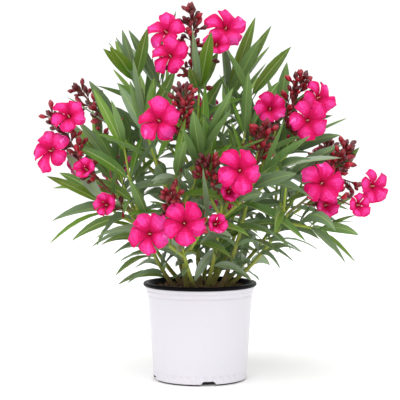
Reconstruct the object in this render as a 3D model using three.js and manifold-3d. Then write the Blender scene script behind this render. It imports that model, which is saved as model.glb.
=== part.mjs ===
// A potted oleander: a flowering shrub of fourteen stems in a round nursery pot.
// Millimetres, +Z up, +X to the right, the front towards -Y. The origin is the centre of the pot's flat
// underside. Bearings are in degrees round +Z, from +X towards +Y, so 270 is the front and 180 the left.
//
// The pot is a tapered shell with a rolled lip ring on it, filled with potting mix. Each stem is one bare
// tapering limb, cut flat where it stands on the mix. Above it a leafy top goes on: the stem up to its fork,
// with the leafy shoots that leave there, and leaves in whorls of three. From the fork a flower head rises on
// its own stalk. No leaf, bud or twig of one top touches another top, a flower head, a limb or the pot.
import * as THREE from "three";
import { mergeVertices } from "three/addons/utils/BufferGeometryUtils.js";
import Module from "manifold-3d";

// Gaps between neighbouring solids.
const CLEARANCE = 0.3;
const WELD = 1e-4;
// A joint may leave no edge shorter than this.
const SHORTEST_EDGE = 0.002;
const NUDGES = [0, 0.02, -0.02, 0.04, -0.04, 0.06, -0.06];
// How far from its twig's axis each leaf, bud and bloom starts.
const ROOT_OFFSET = 0.3;

// Pot: radii of the tapering wall, then what stands out of it.
const POT_HEIGHT = 172;
const LIP_HEIGHT = 6.7;
const LIP_RADIUS = 100;
const LIP_ROUNDING = 2.4;
const SKIRT_DEPTH = 19;
const SKIRT_THICKNESS = 1.2;
const BASE_RADIUS = 81.5;
const SHELL_TOP_RADIUS = 93.2;
const WALL = 2.2;
const FLOOR = 2.5;
const HEEL = 8;
const BASE_EDGE = 2.6;
const COLLAR_DEPTHS = [21.6, 13];
const COLLAR_STEP = 1.3;
const POT_SEGMENTS = 28;

// Drain notches through the foot of the wall.
const NOTCHES = 4;
const NOTCH_BEARING = 280.5;
const NOTCH_WIDTH = 27;
const NOTCH_TOP_WIDTH = 17;
const NOTCH_HEIGHT = 8.6;
const NOTCH_INNER_RADIUS = 70;

// Potting mix: level at the wall, mounded a little round the stems.
const MIX_TOP = 163;
const MIX_EDGE_DROP = 4.5;
const MOUND_RADIUS = 64;

// Bare limbs and leafy stems.
const LIMB_SIDES = 6;
const STEM_SIDES = 4;
const LIMB_STEPS = 4;
const FOOT_RADIUS = 4.1;
const FLARE = 1.45;
const FORK_RADIUS = 2.8;
const TWIG_SIDES = 3;
const SHOOT_RADIUS = 2.5;
const SHOOT_TIP_RADIUS = 1.3;
const SHOOT_START = 0.83;
const SHOOT_STEP = 0.03;
const BARE_SHARE = 0.26;

// Leaves: long blades in whorls of three. A leaf leans from its twig by its pitch, and droops by a share of
// its length. Its face turns somewhat outwards from the crown. It is tried with a margin beside, above and
// below its blade. One that isn't free turns aside round its twig.
const LEAVES_A_WHORL = 3;
const LEAF_LENGTH = 124;
const LEAF_WIDTH = 23;
const LEAF_THICKNESS = 1.7;
const LEAF_STATIONS = [
  { along: 0, share: 0 },
  { along: 0.3, share: 0.94 },
  { along: 0.66, share: 0.86 },
  { along: 1, share: 0 },
];
const LEAF_MARGIN = { beside: 3, above: 0.4, below: 0.8 };
const NO_MARGIN = { beside: 0, above: 0, below: 0 };
const LEAF_FREE_FROM = 0.16;
const LIFT = 0.16;
const FACE_LEAN = 0.5;
const ROLL = 52;
const TURNS_ASIDE = [0, 26, -26, 50];
const STEM_INTERNODE = 38;
const STEM_WHORL = { pitch: [70, 56], length: [0.78, 1.02], droop: [0.58, 0.3] };
const SHOOT_WHORLS = [
  { along: 0.38, pitch: 64, length: 0.98, droop: 0.32 },
  { along: 0.68, pitch: 48, length: 1.06, droop: 0.2 },
  { along: 0.95, pitch: 28, length: 1.02, droop: 0.08 },
];

// Flower heads.
const STALK_RADIUS = 2.1;
const STALK_TIP_RADIUS = 1.2;
const STALK_SIDES = 4;
const STALK_STEPS = 6;
const TUBE_RADIUS = 3;
const BLOOM_RADIUS = 41;
const BLOOM_DROP = 0.15;
const BLOOM_TUBE = 20;
const BLOOM_THROAT = 7;
const LOOK_TILT = 12;
const PETALS = 5;
const BUD_LENGTH = 19;
const BUD_WAIST = 10.5;
const BUD_RADIUS = 5.2;
const BUD_STALK = 13;
const BUD_SIDES = 3;
const BUD_FROM = 0.4;
const GOLDEN_ANGLE = 137.5;
const FACE_CLEAR_DEPTH = 130;
const LOWEST_TIP = 162;

// Every stem, named by where its fork stands in the crown. A place is [bearing, reach, height or rise].
//   foot: where it stands on the mix, as [bearing, reach].
//   fork: the place of its fork, from the centre of the pot's underside. All else is placed from the fork.
//   shoots: the tip of each leafy shoot. A stem that gives none has those of SHOOT_FAN, turned with it.
//   stalk: the tip of its flower stalk, with so many buds. Its blooms turn towards the bearing looks.
//   blooms: the centre of each bloom, and its age: 1 is wide open and 0.3 is just opening.
const SHOOT_FAN = [[-78, 56, 102], [12, 64, 84], [100, 60, 62]];
const STEMS = [
  {
    name: "centre", foot: [90, 4], fork: [130, 20, 392],
    shoots: [[284, 47, 113], [21, 68, 104], [150, 68, 128]],
    stalk: [262, 21, 246], buds: 13, looks: 258,
    blooms: [[213, 56, 218, 0.9], [235, 68, 175, 0.9], [337, 64, 226, 1], [312, 61, 193, 0.6]],
  },
  {
    name: "front_left", foot: [221, 30], fork: [247, 92, 330],
    shoots: [[160, 58, 104], [340, 46, 74], [265, 52, 34]],
    stalk: [290, 27, 158], buds: 12, looks: 266,
    blooms: [[243, 73, 125, 1]],
  },
  {
    name: "left", foot: [187, 46], fork: [201, 112, 288],
    shoots: [[240, 46, 116], [150, 60, 66], [205, 66, 26]],
    stalk: [188, 141, 168], buds: 13, looks: 256,
    blooms: [[195, 157, 116, 1], [201, 126, 174, 0.8], [207, 98, 83, 0.45], [231, 83, 24, 0.5]],
  },
  {
    name: "left_high", foot: [155, 26], fork: [138, 92, 378],
    shoots: [[227, 66, 146], [118, 62, 96], [190, 74, 58]],
    stalk: [180, 141, 126], buds: 8, looks: 200,
    blooms: [],
  },
  {
    name: "front_right", foot: [299, 25], fork: [292, 98, 312],
    shoots: [[37, 51, 124], [352, 70, 56], [205, 40, 64]],
    stalk: [251, 73, 64], buds: 9, looks: 272,
    blooms: [[284, 118, 62, 1], [277, 84, 26, 0.4]],
  },
  {
    name: "right_high", foot: [5, 20], fork: [18, 104, 376],
    shoots: [[258, 53, 120], [52, 74, 84], [10, 66, 40]],
    stalk: [331, 86, 140], buds: 12, looks: 286,
    blooms: [[287, 75, 99, 0.7], [312, 130, 80, 1], [334, 119, 119, 0.85]],
  },
  {
    name: "right_front", foot: [324, 44], fork: [318, 118, 352],
    shoots: [[70, 46, 78], [345, 64, 50]],
    stalk: [328, 21, 76], buds: 9, looks: 290,
    blooms: [],
  },
  {
    name: "right", foot: [350, 47], fork: [342, 160, 296],
    shoots: [[100, 48, 84], [262, 50, 54], [5, 54, -30]],
    stalk: [12, 98, 100], buds: 13, looks: 280,
    blooms: [[324, 69, 54, 1], [350, 63, 14, 0.6], [4, 146, 46, 0.8], [348, 118, 15, 0.55]],
  },
  {
    name: "front_low", foot: [258, 39], fork: [254, 104, 240],
    shoots: [[200, 58, 42], [320, 52, 50]],
    stalk: [259, 92, 84], buds: 9, looks: 268,
    blooms: [[239, 105, 30, 0.95], [272, 120, 49, 1], [299, 109, 46, 0.4]],
  },
  {
    name: "back_right", foot: [55, 34], fork: [52, 118, 340],
    stalk: [30, 88, 128], buds: 10, looks: 58,
    blooms: [[56, 96, 88, 1], [18, 104, 92, 0.85], [84, 62, 34, 0.4]],
  },
  {
    name: "back", foot: [93, 34], fork: [92, 112, 366],
    stalk: [112, 74, 140], buds: 10, looks: 92,
    blooms: [[82, 92, 108, 1], [128, 94, 84, 0.85]],
  },
  {
    name: "back_left", foot: [135, 42], fork: [150, 138, 300],
    stalk: [134, 98, 118], buds: 10, looks: 142,
    blooms: [[112, 104, 76, 1], [158, 112, 84, 0.9], [136, 76, 28, 0.4]],
  },
  {
    name: "back_low", foot: [84, 54], fork: [84, 150, 262],
    shoots: [[120, 58, 62], [40, 56, 54]],
    stalk: [76, 66, 82], buds: 8, looks: 80,
    blooms: [[56, 74, 44, 1], [104, 70, 26, 0.7]],
  },
  {
    name: "right_back", foot: [25, 38], fork: [22, 158, 292],
    shoots: [[92, 52, 98], [325, 50, 66], [350, 60, 26]],
    stalk: [28, 98, 112], buds: 10, looks: 22,
    blooms: [[2, 98, 66, 1], [46, 112, 84, 0.85]],
  },
];

const WHITE = { color: 0xf4f4f6, roughness: 0.42, metalness: 0 };
const BLACK = { color: 0x17161a, roughness: 0.38, metalness: 0 };
const MIX_BROWN = { color: 0x3a2a20, roughness: 0.95, metalness: 0 };
const BARK = { color: 0x7d8a4e, roughness: 0.75, metalness: 0 };
const LEAF_GREEN = { color: 0x4c7a3c, roughness: 0.5, metalness: 0 };
const BLOOM_PINK = { color: 0xf0187c, roughness: 0.55, metalness: 0 };

// The seeded scatter: one step for each key, and a factor that spreads the wave's fine digits.
const KEY_STEPS = [12.9898, 78.233, 37.719, 9.131];
const SCATTER = 43758.5453;

const wasm = await Module();
wasm.setup();
const UP = new THREE.Vector3(0, 0, 1);
const BACK = new THREE.Vector3(0, 1, 0);

// ---- small helpers ----

const radians = THREE.MathUtils.degToRad;
const mix = THREE.MathUtils.lerp;

// The vector that goes reach mm towards a bearing and z mm up.
function polar(bearing, reach, z) {
  return new THREE.Vector3(reach * Math.cos(radians(bearing)), reach * Math.sin(radians(bearing)), z);
}

// A unit vector towards a bearing, tilted up from level.
function heading(bearing, tilt) {
  return polar(bearing, Math.cos(radians(tilt)), Math.sin(radians(tilt)));
}

// A number from 0 to 1 that depends only on its keys.
function chance(...keys) {
  const wave = SCATTER * Math.sin(keys.reduce((sum, key, i) => sum + key * KEY_STEPS[i], 1.7));
  return wave - Math.floor(wave);
}

// A number from -spread to spread that depends only on its keys.
function vary(spread, ...keys) {
  return spread * (2 * chance(...keys) - 1);
}

function solidOf(geometry) {
  geometry.deleteAttribute("normal");
  geometry.deleteAttribute("uv");
  const merged = mergeVertices(geometry, WELD);
  return new wasm.Manifold(new wasm.Mesh({
    numProp: 3,
    vertProperties: merged.attributes.position.array,
    triVerts: new Uint32Array(merged.index.array),
  }));
}

function geometryOf(solid) {
  const { vertProperties, triVerts } = solid.getMesh();
  const geometry = new THREE.BufferGeometry();
  geometry.setAttribute("position", new THREE.BufferAttribute(new Float32Array(vertProperties), 3));
  geometry.setIndex(new THREE.BufferAttribute(new Uint32Array(triVerts), 1));
  geometry.computeVertexNormals();
  return geometry;
}

function isEmpty(solid) {
  return solid.getMesh().triVerts.length === 0;
}

function shortestEdge(solid) {
  const geometry = geometryOf(solid);
  const points = geometry.getAttribute("position");
  const corners = geometry.getIndex().array;
  const at = (i) => new THREE.Vector3().fromBufferAttribute(points, corners[i]);
  const next = (i) => (i % 3 === 2 ? i - 2 : i + 1);
  return corners.reduce((least, _, i) => Math.min(least, at(i).distanceTo(at(next(i)))), Infinity);
}

// A unit geometry about Y, with each of its points moved to place(angle round Y, height, reach from Y).
function moulded(geometry, place) {
  const points = geometry.getAttribute("position");
  for (let i = 0; i < points.count; i += 1) {
    const { x, y, z } = new THREE.Vector3().fromBufferAttribute(points, i);
    const point = place(Math.atan2(-z, x), y, Math.hypot(x, z));
    points.setXYZ(i, point.x, point.y, point.z);
  }
  return geometry;
}

// Which ring of a unit sphere lies at a height, counted up from its lower pole.
function level(height, rings) {
  return Math.round(rings - (rings * Math.acos(height)) / Math.PI);
}

// Two unit vectors square to axis. Round an upright axis an angle from the first is a bearing.
function sideways(axis) {
  const first = new THREE.Vector3().crossVectors(BACK, axis).normalize();
  return [first, new THREE.Vector3().crossVectors(axis, first)];
}

// A unit vector square to axis, turned round it by angle.
function spoke(axis, angle) {
  const [first, second] = sideways(axis);
  return first.multiplyScalar(Math.cos(angle)).addScaledVector(second, Math.sin(angle));
}

// Shares of a curve, evenly spaced.
function evenly(from, to, steps) {
  return Array.from({ length: steps + 1 }, (_, i) => mix(from, to, i / steps));
}

// A tapering limb through the given shares of a curve, with a radius that depends on the share. Its foot is
// cut square to the curve, or to the axis given as cut.
function limbOn(curve, shares, radiusAt, sides, cut) {
  const steps = shares.length - 1;
  return moulded(new THREE.CylinderGeometry(1, 1, 1, sides, steps), (angle, height, reach) => {
    const t = shares[Math.round((height + 0.5) * steps)];
    const axis = cut && height < -0.49 ? cut : curve.getTangent(t);
    return curve.getPoint(t).addScaledVector(spoke(axis, angle), reach * radiusAt(t));
  });
}

// ---- pot ----

function wallRadius(z) {
  return mix(BASE_RADIUS, SHELL_TOP_RADIUS, z / (POT_HEIGHT - LIP_HEIGHT));
}

// A solid of revolution about Z from a profile of [radius, height], read anticlockwise.
function turned(profile, closed) {
  const points = profile.map(([radius, z]) => new THREE.Vector2(radius, z));
  if (closed) points.push(points[0].clone());
  return solidOf(new THREE.LatheGeometry(points, POT_SEGMENTS).rotateX(Math.PI / 2));
}

function drainNotch(bearing) {
  const outline = new THREE.Shape([
    new THREE.Vector2(-NOTCH_WIDTH / 2, -1),
    new THREE.Vector2(NOTCH_WIDTH / 2, -1),
    new THREE.Vector2(NOTCH_TOP_WIDTH / 2, NOTCH_HEIGHT),
    new THREE.Vector2(-NOTCH_TOP_WIDTH / 2, NOTCH_HEIGHT),
  ]);
  const geometry = new THREE.ExtrudeGeometry(outline, { depth: 30, bevelEnabled: false });
  geometry.rotateX(Math.PI / 2).rotateZ(Math.PI).translate(0, NOTCH_INNER_RADIUS, 0);
  geometry.rotateZ(radians(bearing - 90));
  return solidOf(geometry);
}

function potShell() {
  const top = POT_HEIGHT - LIP_HEIGHT - CLEARANCE;
  const outside = [[0, 0], [BASE_RADIUS - BASE_EDGE, 0], [wallRadius(BASE_EDGE), BASE_EDGE]];
  COLLAR_DEPTHS.forEach((depth, i) => {
    const z = POT_HEIGHT - depth;
    outside.push([wallRadius(z) + i * COLLAR_STEP, z]);
    outside.push([wallRadius(z) + (i + 1) * COLLAR_STEP, z + COLLAR_STEP]);
  });
  outside.push([wallRadius(top) + COLLAR_DEPTHS.length * COLLAR_STEP, top]);
  const inside = [
    [wallRadius(top) - WALL, top],
    [wallRadius(HEEL) - WALL, HEEL],
    [wallRadius(0) - 2 * WALL, FLOOR],
    [0, FLOOR],
  ];
  const shell = turned([...outside, ...inside]);
  return Array.from({ length: NOTCHES }, (_, i) => drainNotch(NOTCH_BEARING + (360 / NOTCHES) * i))
    .reduce((solid, notch) => solid.subtract(notch), shell);
}

// The rolled lip, with the skirt that lines the top of the wall.
function potRim() {
  const seat = POT_HEIGHT - LIP_HEIGHT;
  const skirtFoot = POT_HEIGHT - SKIRT_DEPTH;
  const skirtOut = (z) => wallRadius(z) - WALL - CLEARANCE;
  const top = Array.from({ length: 3 }, (_, i) => {
    const angle = (Math.PI / 2) * (i / 2);
    return [
      LIP_RADIUS - LIP_ROUNDING + LIP_ROUNDING * Math.cos(angle),
      POT_HEIGHT - LIP_ROUNDING + LIP_ROUNDING * Math.sin(angle),
    ];
  });
  return turned([
    [skirtOut(skirtFoot), skirtFoot],
    [skirtOut(seat), seat],
    [LIP_RADIUS, seat],
    ...top,
    [skirtOut(seat) + 2, POT_HEIGHT],
    [skirtOut(seat) - SKIRT_THICKNESS, seat],
    [skirtOut(skirtFoot) - SKIRT_THICKNESS, skirtFoot],
  ], true);
}

function pottingMix() {
  const skirtFoot = POT_HEIGHT - SKIRT_DEPTH - CLEARANCE;
  const gap = WALL + 2 * CLEARANCE;
  const collar = wallRadius(skirtFoot) - gap - SKIRT_THICKNESS - CLEARANCE;
  return turned([
    [0, FLOOR + CLEARANCE],
    [wallRadius(0) - 2 * WALL - CLEARANCE, FLOOR + CLEARANCE],
    [wallRadius(HEEL) - gap, HEEL + CLEARANCE],
    [wallRadius(skirtFoot) - gap, skirtFoot],
    [collar, skirtFoot],
    [collar, MIX_TOP - MIX_EDGE_DROP],
    [MOUND_RADIUS, MIX_TOP],
    [0, MIX_TOP],
  ]);
}

// ---- the plan of a stem ----

// A curve that leaves its start at a slant and ends steeper.
function rising(from, to) {
  const bend = from.clone().lerp(to, 0.62).setZ(mix(from.z, to.z, 0.4));
  return new THREE.QuadraticBezierCurve3(from, bend, to);
}

function planStem(stem, index) {
  const fork = polar(...stem.fork);
  const trunk = rising(polar(...stem.foot, MIX_TOP + CLEARANCE), fork);
  const fan = SHOOT_FAN.map(([turn, reach, rise]) => [stem.fork[0] + turn, reach, rise]);
  const tips = (stem.shoots ?? fan).map((tip) => polar(...tip).add(fork));
  const stalkStart = fork.clone().addScaledVector(trunk.getTangent(1), CLEARANCE);
  return {
    ...stem,
    index,
    trunk,
    twigs: tips.map((tip, i) => rising(trunk.getPoint(SHOOT_START + SHOOT_STEP * i), tip)),
    stalk: rising(stalkStart, polar(...stem.stalk).add(fork)),
    centres: stem.blooms.map(([bearing, reach, rise]) => polar(bearing, reach, rise).add(fork)),
  };
}

function trunkRadius(t) {
  return mix(FOOT_RADIUS, FORK_RADIUS, Math.min(1, t * 1.1)) * (1 + (FLARE - 1) * Math.exp(-t * 22));
}

function bareLimb(plan) {
  return limbOn(plan.trunk, evenly(0, BARE_SHARE, LIMB_STEPS), trunkRadius, LIMB_SIDES, UP);
}

// ---- leaves ----

// One leaf from a point on its twig: a curve, the way its blade lies and its size.
function planLeaf(at, axis, turn, whorl, keys) {
  const out = spoke(axis, radians(turn));
  const pitch = radians(whorl.pitch + vary(7, ...keys, 1));
  const way = axis.clone().multiplyScalar(Math.cos(pitch)).addScaledVector(out, Math.sin(pitch));
  way.addScaledVector(UP, LIFT).normalize();
  const length = LEAF_LENGTH * whorl.length * (1 + vary(0.13, ...keys, 2));
  const droop = length * whorl.droop * (1 + vary(0.4, ...keys, 3));
  const sag = out.clone().multiplyScalar(0.45).sub(UP).setLength(droop);
  const face = way.clone().cross(axis.clone().cross(out)).normalize();
  face.addScaledVector(new THREE.Vector3(at.x, at.y, 0).normalize(), FACE_LEAN);
  const across = face.cross(way).normalize().applyAxisAngle(way, radians(vary(ROLL, ...keys, 4)));
  const start = at.clone().addScaledVector(way, ROOT_OFFSET);
  const middle = at.clone().addScaledVector(way, length / 2);
  const tip = at.clone().addScaledVector(way, length).add(sag);
  return { curve: new THREE.QuadraticBezierCurve3(start, middle, tip), across, length };
}

// A leaf's blade: flat above, with its midrib standing out below. It can be given a margin, and start some
// way from its root.
function blade(leaf, margin, from) {
  const half = (LEAF_WIDTH / 2) * Math.min(1, leaf.length / LEAF_LENGTH + 0.1);
  return moulded(new THREE.SphereGeometry(1, 3, 3), (angle, height) => {
    const station = LEAF_STATIONS[level(height, 3)];
    const t = Math.max(from, station.along);
    const along = leaf.curve.getTangent(t);
    const point = leaf.curve.getPoint(t);
    if (!station.share) return point.addScaledVector(along, station.along === 1 ? margin.beside : 0);
    const face = new THREE.Vector3().crossVectors(along, leaf.across).normalize();
    const side = -Math.sin(angle) / Math.sin(Math.PI / 3);
    const isMidrib = Math.abs(side) < 0.5;
    return point
      .addScaledVector(leaf.across, side * (half * station.share + margin.beside))
      .addScaledVector(face, isMidrib ? -LEAF_THICKNESS - margin.below : margin.above);
  });
}

// All the leaves that a stem's top would bear, lowest first. Each is a list of the ways it could grow.
function planLeaves(plan) {
  const leaves = [];
  const addWhorl = (curve, t, branch, level, whorl) => {
    const roll = 60 * level + 360 * chance(plan.index, branch, 0, 5);
    for (let i = 0; i < LEAVES_A_WHORL; i += 1) {
      const keys = [plan.index, 10 * branch + level, i];
      const turn = roll + (360 / LEAVES_A_WHORL) * i + vary(14, ...keys, 6);
      leaves.push(TURNS_ASIDE.map((aside) => {
        return planLeaf(curve.getPoint(t), curve.getTangent(t), turn + aside, whorl, keys);
      }));
    }
  };
  const levels = Math.max(2, Math.round(((1 - BARE_SHARE) * plan.trunk.getLength()) / STEM_INTERNODE));
  for (let level = 0; level < levels; level += 1) {
    const share = level / levels;
    addWhorl(plan.trunk, mix(BARE_SHARE + 0.05, SHOOT_START, share), 0, level, {
      pitch: mix(...STEM_WHORL.pitch, share),
      length: mix(...STEM_WHORL.length, share),
      droop: mix(...STEM_WHORL.droop, share),
    });
  }
  plan.twigs.forEach((twig, i) => {
    SHOOT_WHORLS.forEach((whorl, level) => addWhorl(twig, whorl.along, i + 1, level, whorl));
  });
  return leaves;
}

const TWIG_SHARES = [0, ...SHOOT_WHORLS.slice(0, -1).map(({ along }) => along), 1];

function leafyTwigs(plan) {
  const gap = CLEARANCE / plan.trunk.getLength();
  const radiusAt = (t) => mix(SHOOT_RADIUS, SHOOT_TIP_RADIUS, t);
  return [
    limbOn(plan.trunk, evenly(BARE_SHARE + gap, 1, LIMB_STEPS), trunkRadius, STEM_SIDES),
    ...plan.twigs.map((twig) => limbOn(twig, TWIG_SHARES, radiusAt, TWIG_SIDES)),
  ];
}

// ---- flower heads ----

// Each bloom's root on the stalk, its centre, the way it faces and its age.
function planBlooms({ stalk, centres, blooms, looks }) {
  return centres.map((centre, i) => {
    const gapAt = (share) => stalk.getPoint(share).distanceTo(centre);
    const nearer = (best, share) => (gapAt(share) < gapAt(best) ? share : best);
    const nearest = evenly(0.25, 1, 15).reduce(nearer);
    const root = stalk.getPoint(nearest - BLOOM_DROP);
    const way = centre.clone().sub(root).normalize();
    const face = heading(looks, LOOK_TILT).lerp(way, 0.35).normalize();
    return { root, centre, face, age: blooms[i][3] };
  });
}

// Each bud's root on the stalk, the way it points and its length.
function planBuds({ stalk, buds, index }) {
  return Array.from({ length: buds }, (_, i) => {
    const keys = [index, 90, i];
    const share = (i + 0.5) / buds;
    const t = mix(BUD_FROM, 1, Math.sqrt(share));
    const axis = stalk.getTangent(t);
    const pitch = radians(mix(62, 16, share) + vary(8, ...keys, 2));
    const out = spoke(axis, radians(GOLDEN_ANGLE * i + vary(20, ...keys, 1)));
    const way = axis.multiplyScalar(Math.cos(pitch)).addScaledVector(out, Math.sin(pitch));
    const length = (BUD_STALK + BUD_LENGTH) * (1 + vary(0.18, ...keys, 3));
    return { root: stalk.getPoint(t), way, length };
  });
}

// A bloom of five petals round a throat, with the tube and the thin stalk behind it.
function bloomShape({ root, centre, face, age }) {
  const reach = BLOOM_RADIUS * mix(0.34, 1, age);
  const forward = BLOOM_RADIUS * mix(0.7, 0, age);
  const ahead = (depth) => centre.clone().addScaledVector(face, depth);
  const places = [
    () => root.clone().addScaledVector(centre.clone().sub(root).normalize(), ROOT_OFFSET),
    (angle) => ahead(-BLOOM_TUBE).addScaledVector(spoke(face, angle), TUBE_RADIUS),
    (angle) => ahead(forward).addScaledVector(spoke(face, angle), reach),
    () => ahead(forward * age - BLOOM_THROAT),
  ];
  const unit = new THREE.SphereGeometry(1, PETALS, 3);
  return moulded(unit, (angle, height) => places[level(height, 3)](angle));
}

function budShape({ root, way, length }) {
  const ahead = (distance) => root.clone().addScaledVector(way, distance);
  const places = [
    () => ahead(ROOT_OFFSET),
    (angle) => ahead(length - BUD_WAIST).addScaledVector(spoke(way, angle), BUD_RADIUS),
    () => ahead(length),
  ];
  const unit = new THREE.SphereGeometry(1, BUD_SIDES, 2);
  return moulded(unit, (angle, height) => places[level(height, 2)](angle));
}

function stalkShape({ stalk, trunk }) {
  const radiusAt = (t) => mix(STALK_RADIUS, STALK_TIP_RADIUS, t);
  return limbOn(stalk, evenly(0, 1, STALK_STEPS), radiusAt, STALK_SIDES, trunk.getTangent(1));
}

// ---- growing without touching ----

// What has grown so far, as pieces with the node that owns each.
const grown = [];

function pieceOf(geometry) {
  geometry.computeBoundingBox();
  return { geometry, solid: solidOf(geometry), box: geometry.boundingBox };
}

// Whether a trial piece cuts one that matters.
function touches(trial, matters) {
  return grown.some((piece) => matters(piece) && piece.box.intersectsBox(trial.box)
    && !isEmpty(piece.solid.intersect(trial.solid)));
}

function claim(node, kind, piece) {
  grown.push({ ...piece, node, kind });
}

// Whether any of a leaf lies where the pot, or the view of a bloom's face, has to stay free.
function isShut(leaf, blooms) {
  return evenly(0.2, 1, 5).some((t) => {
    const point = leaf.curve.getPoint(t);
    if (point.z < LOWEST_TIP) return true;
    if (point.z < POT_HEIGHT + 6 && Math.hypot(point.x, point.y) < LIP_RADIUS + 8) return true;
    return blooms.some(({ centre, face, age }) => {
      const offset = point.clone().sub(centre);
      const ahead = offset.dot(face);
      const aside = offset.addScaledVector(face, -ahead).length();
      return ahead > -12 && ahead < FACE_CLEAR_DEPTH && aside < BLOOM_RADIUS * mix(0.55, 1.15, age);
    });
  });
}

// ---- the whole object ----

const part = new THREE.Group();

function addNode(name, solid, look) {
  const mesh = new THREE.Mesh(geometryOf(solid), new THREE.MeshStandardMaterial(look));
  mesh.name = name;
  part.add(mesh);
}

addNode("pot", potShell(), WHITE);
addNode("pot_rim", potRim(), BLACK);
addNode("potting_mix", pottingMix(), MIX_BROWN);

const plans = STEMS.map(planStem);
const blooms = [];

for (const plan of plans) {
  const piece = pieceOf(bareLimb(plan));
  claim(`stem_${plan.name}`, "limb", piece);
  addNode(`stem_${plan.name}`, piece.solid, BARK);
}

for (const plan of plans) {
  for (const twig of leafyTwigs(plan)) claim(`leafy_${plan.name}`, "twig", pieceOf(twig));
}

for (const plan of plans) {
  const node = `blossom_${plan.name}`;
  claim(node, "twig", pieceOf(stalkShape(plan)));
  for (const bloom of planBlooms(plan)) {
    const piece = pieceOf(bloomShape(bloom));
    if (touches(piece, (other) => other.node !== node)) continue;
    blooms.push(bloom);
    claim(node, "bloom", piece);
  }
  const inWay = (other) => other.node !== node || other.kind !== "twig";
  for (const bud of planBuds(plan)) {
    const piece = pieceOf(budShape(bud));
    if (!touches(piece, inWay)) claim(node, "bud", piece);
  }
}

for (const plan of plans) {
  const node = `leafy_${plan.name}`;
  const isOther = (piece) => piece.node !== node;
  const isOwnLeaf = (piece) => piece.node === node && piece.kind === "leaf";
  const isFree = (leaf) => !isShut(leaf, blooms)
    && !touches(pieceOf(blade(leaf, LEAF_MARGIN, 0)), isOther)
    && !touches(pieceOf(blade(leaf, NO_MARGIN, LEAF_FREE_FROM)), isOwnLeaf);
  for (const ways of planLeaves(plan)) {
    const leaf = ways.find(isFree);
    if (leaf) claim(node, "leaf", pieceOf(blade(leaf, NO_MARGIN, 0)));
  }
}

// Joins a piece on, moved a hair where the joint would leave a sliver.
function fused(whole, { geometry }) {
  for (const nudge of NUDGES) {
    const joined = whole.add(solidOf(geometry.clone().translate(nudge, -nudge, nudge)));
    if (shortestEdge(joined) >= SHORTEST_EDGE) return joined;
  }
  return whole;
}

for (const node of new Set(grown.filter((piece) => piece.kind !== "limb").map((piece) => piece.node))) {
  const [stem, ...others] = grown.filter((piece) => piece.node === node);
  addNode(node, others.reduce(fused, stem.solid), node.startsWith("leafy") ? LEAF_GREEN : BLOOM_PINK);
}

export default part;
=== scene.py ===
"""A flowering oleander in its nursery pot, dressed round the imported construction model.

Metres, +Z up, the front towards -Y. Bearings are in degrees round +Z from +X, so 270 is the front.
The plant grows by the construction model's own rule: each stem, shoot, flower stalk, leaf, bloom and bud
stands where that model has it, and finer growth fills in between.
"""

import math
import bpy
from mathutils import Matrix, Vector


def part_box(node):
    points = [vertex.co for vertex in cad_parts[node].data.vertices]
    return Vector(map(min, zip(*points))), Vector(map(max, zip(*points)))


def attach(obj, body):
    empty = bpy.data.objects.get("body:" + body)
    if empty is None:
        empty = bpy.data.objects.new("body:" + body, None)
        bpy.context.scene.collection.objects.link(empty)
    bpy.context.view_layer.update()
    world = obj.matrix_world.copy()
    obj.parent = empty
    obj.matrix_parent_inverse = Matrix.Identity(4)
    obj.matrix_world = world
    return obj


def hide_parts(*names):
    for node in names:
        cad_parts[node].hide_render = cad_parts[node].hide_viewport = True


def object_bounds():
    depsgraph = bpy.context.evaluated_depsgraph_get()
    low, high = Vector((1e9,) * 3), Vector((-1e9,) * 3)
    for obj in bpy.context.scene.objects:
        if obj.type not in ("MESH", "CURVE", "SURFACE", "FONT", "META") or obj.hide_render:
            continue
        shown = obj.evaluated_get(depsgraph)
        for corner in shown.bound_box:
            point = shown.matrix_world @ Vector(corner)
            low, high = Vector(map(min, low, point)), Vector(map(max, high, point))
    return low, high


bl_info = {
    "name": "Potted oleander",
    "version": (1, 0, 0),
    "blender": (4, 5, 0),
    "location": "3D View > Sidebar > Oleander",
    "description": "Builds a flowering oleander in its nursery pot round the construction model",
    "category": "Add Mesh",
}

from types import SimpleNamespace

import bmesh
import bpy
import numpy as np
from bpy.props import FloatProperty, FloatVectorProperty, IntProperty, PointerProperty
from mathutils import Quaternion, Vector
from mathutils.bvhtree import BVHTree
from mathutils.kdtree import KDTree

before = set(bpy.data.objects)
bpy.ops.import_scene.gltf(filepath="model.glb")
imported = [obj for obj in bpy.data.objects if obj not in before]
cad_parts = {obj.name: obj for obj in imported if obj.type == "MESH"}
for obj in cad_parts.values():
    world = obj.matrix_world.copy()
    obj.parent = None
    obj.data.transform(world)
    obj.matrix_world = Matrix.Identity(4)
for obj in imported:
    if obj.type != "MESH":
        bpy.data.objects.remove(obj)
CAD_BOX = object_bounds()

MM = 0.001
UP = Vector((0, 0, 1))
BACK = Vector((0, 1, 0))

# ---- sizes shared with the construction model ----

WALL_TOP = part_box("pot")[1].z
MIX_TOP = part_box("potting_mix")[1].z
RIM_LOW, RIM_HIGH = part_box("pot_rim")
POT_HEIGHT, LIP_RADIUS = RIM_HIGH.z, RIM_HIGH.x

LIMB = SimpleNamespace(gap=0.3 * MM, foot=4.1 * MM, flare=1.45, fork=2.8 * MM, bare_share=0.26)
SHOOT = SimpleNamespace(start=0.83, step=0.03, radius=2.5 * MM, tip=1.3 * MM)
LEAF = SimpleNamespace(
    length=124 * MM, width=23 * MM, root=0.3 * MM, lift=0.16, lean=0.5, roll=28,
    asides=(0, 26, -26, 50), internode=38 * MM, a_whorl=3,
)
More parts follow.
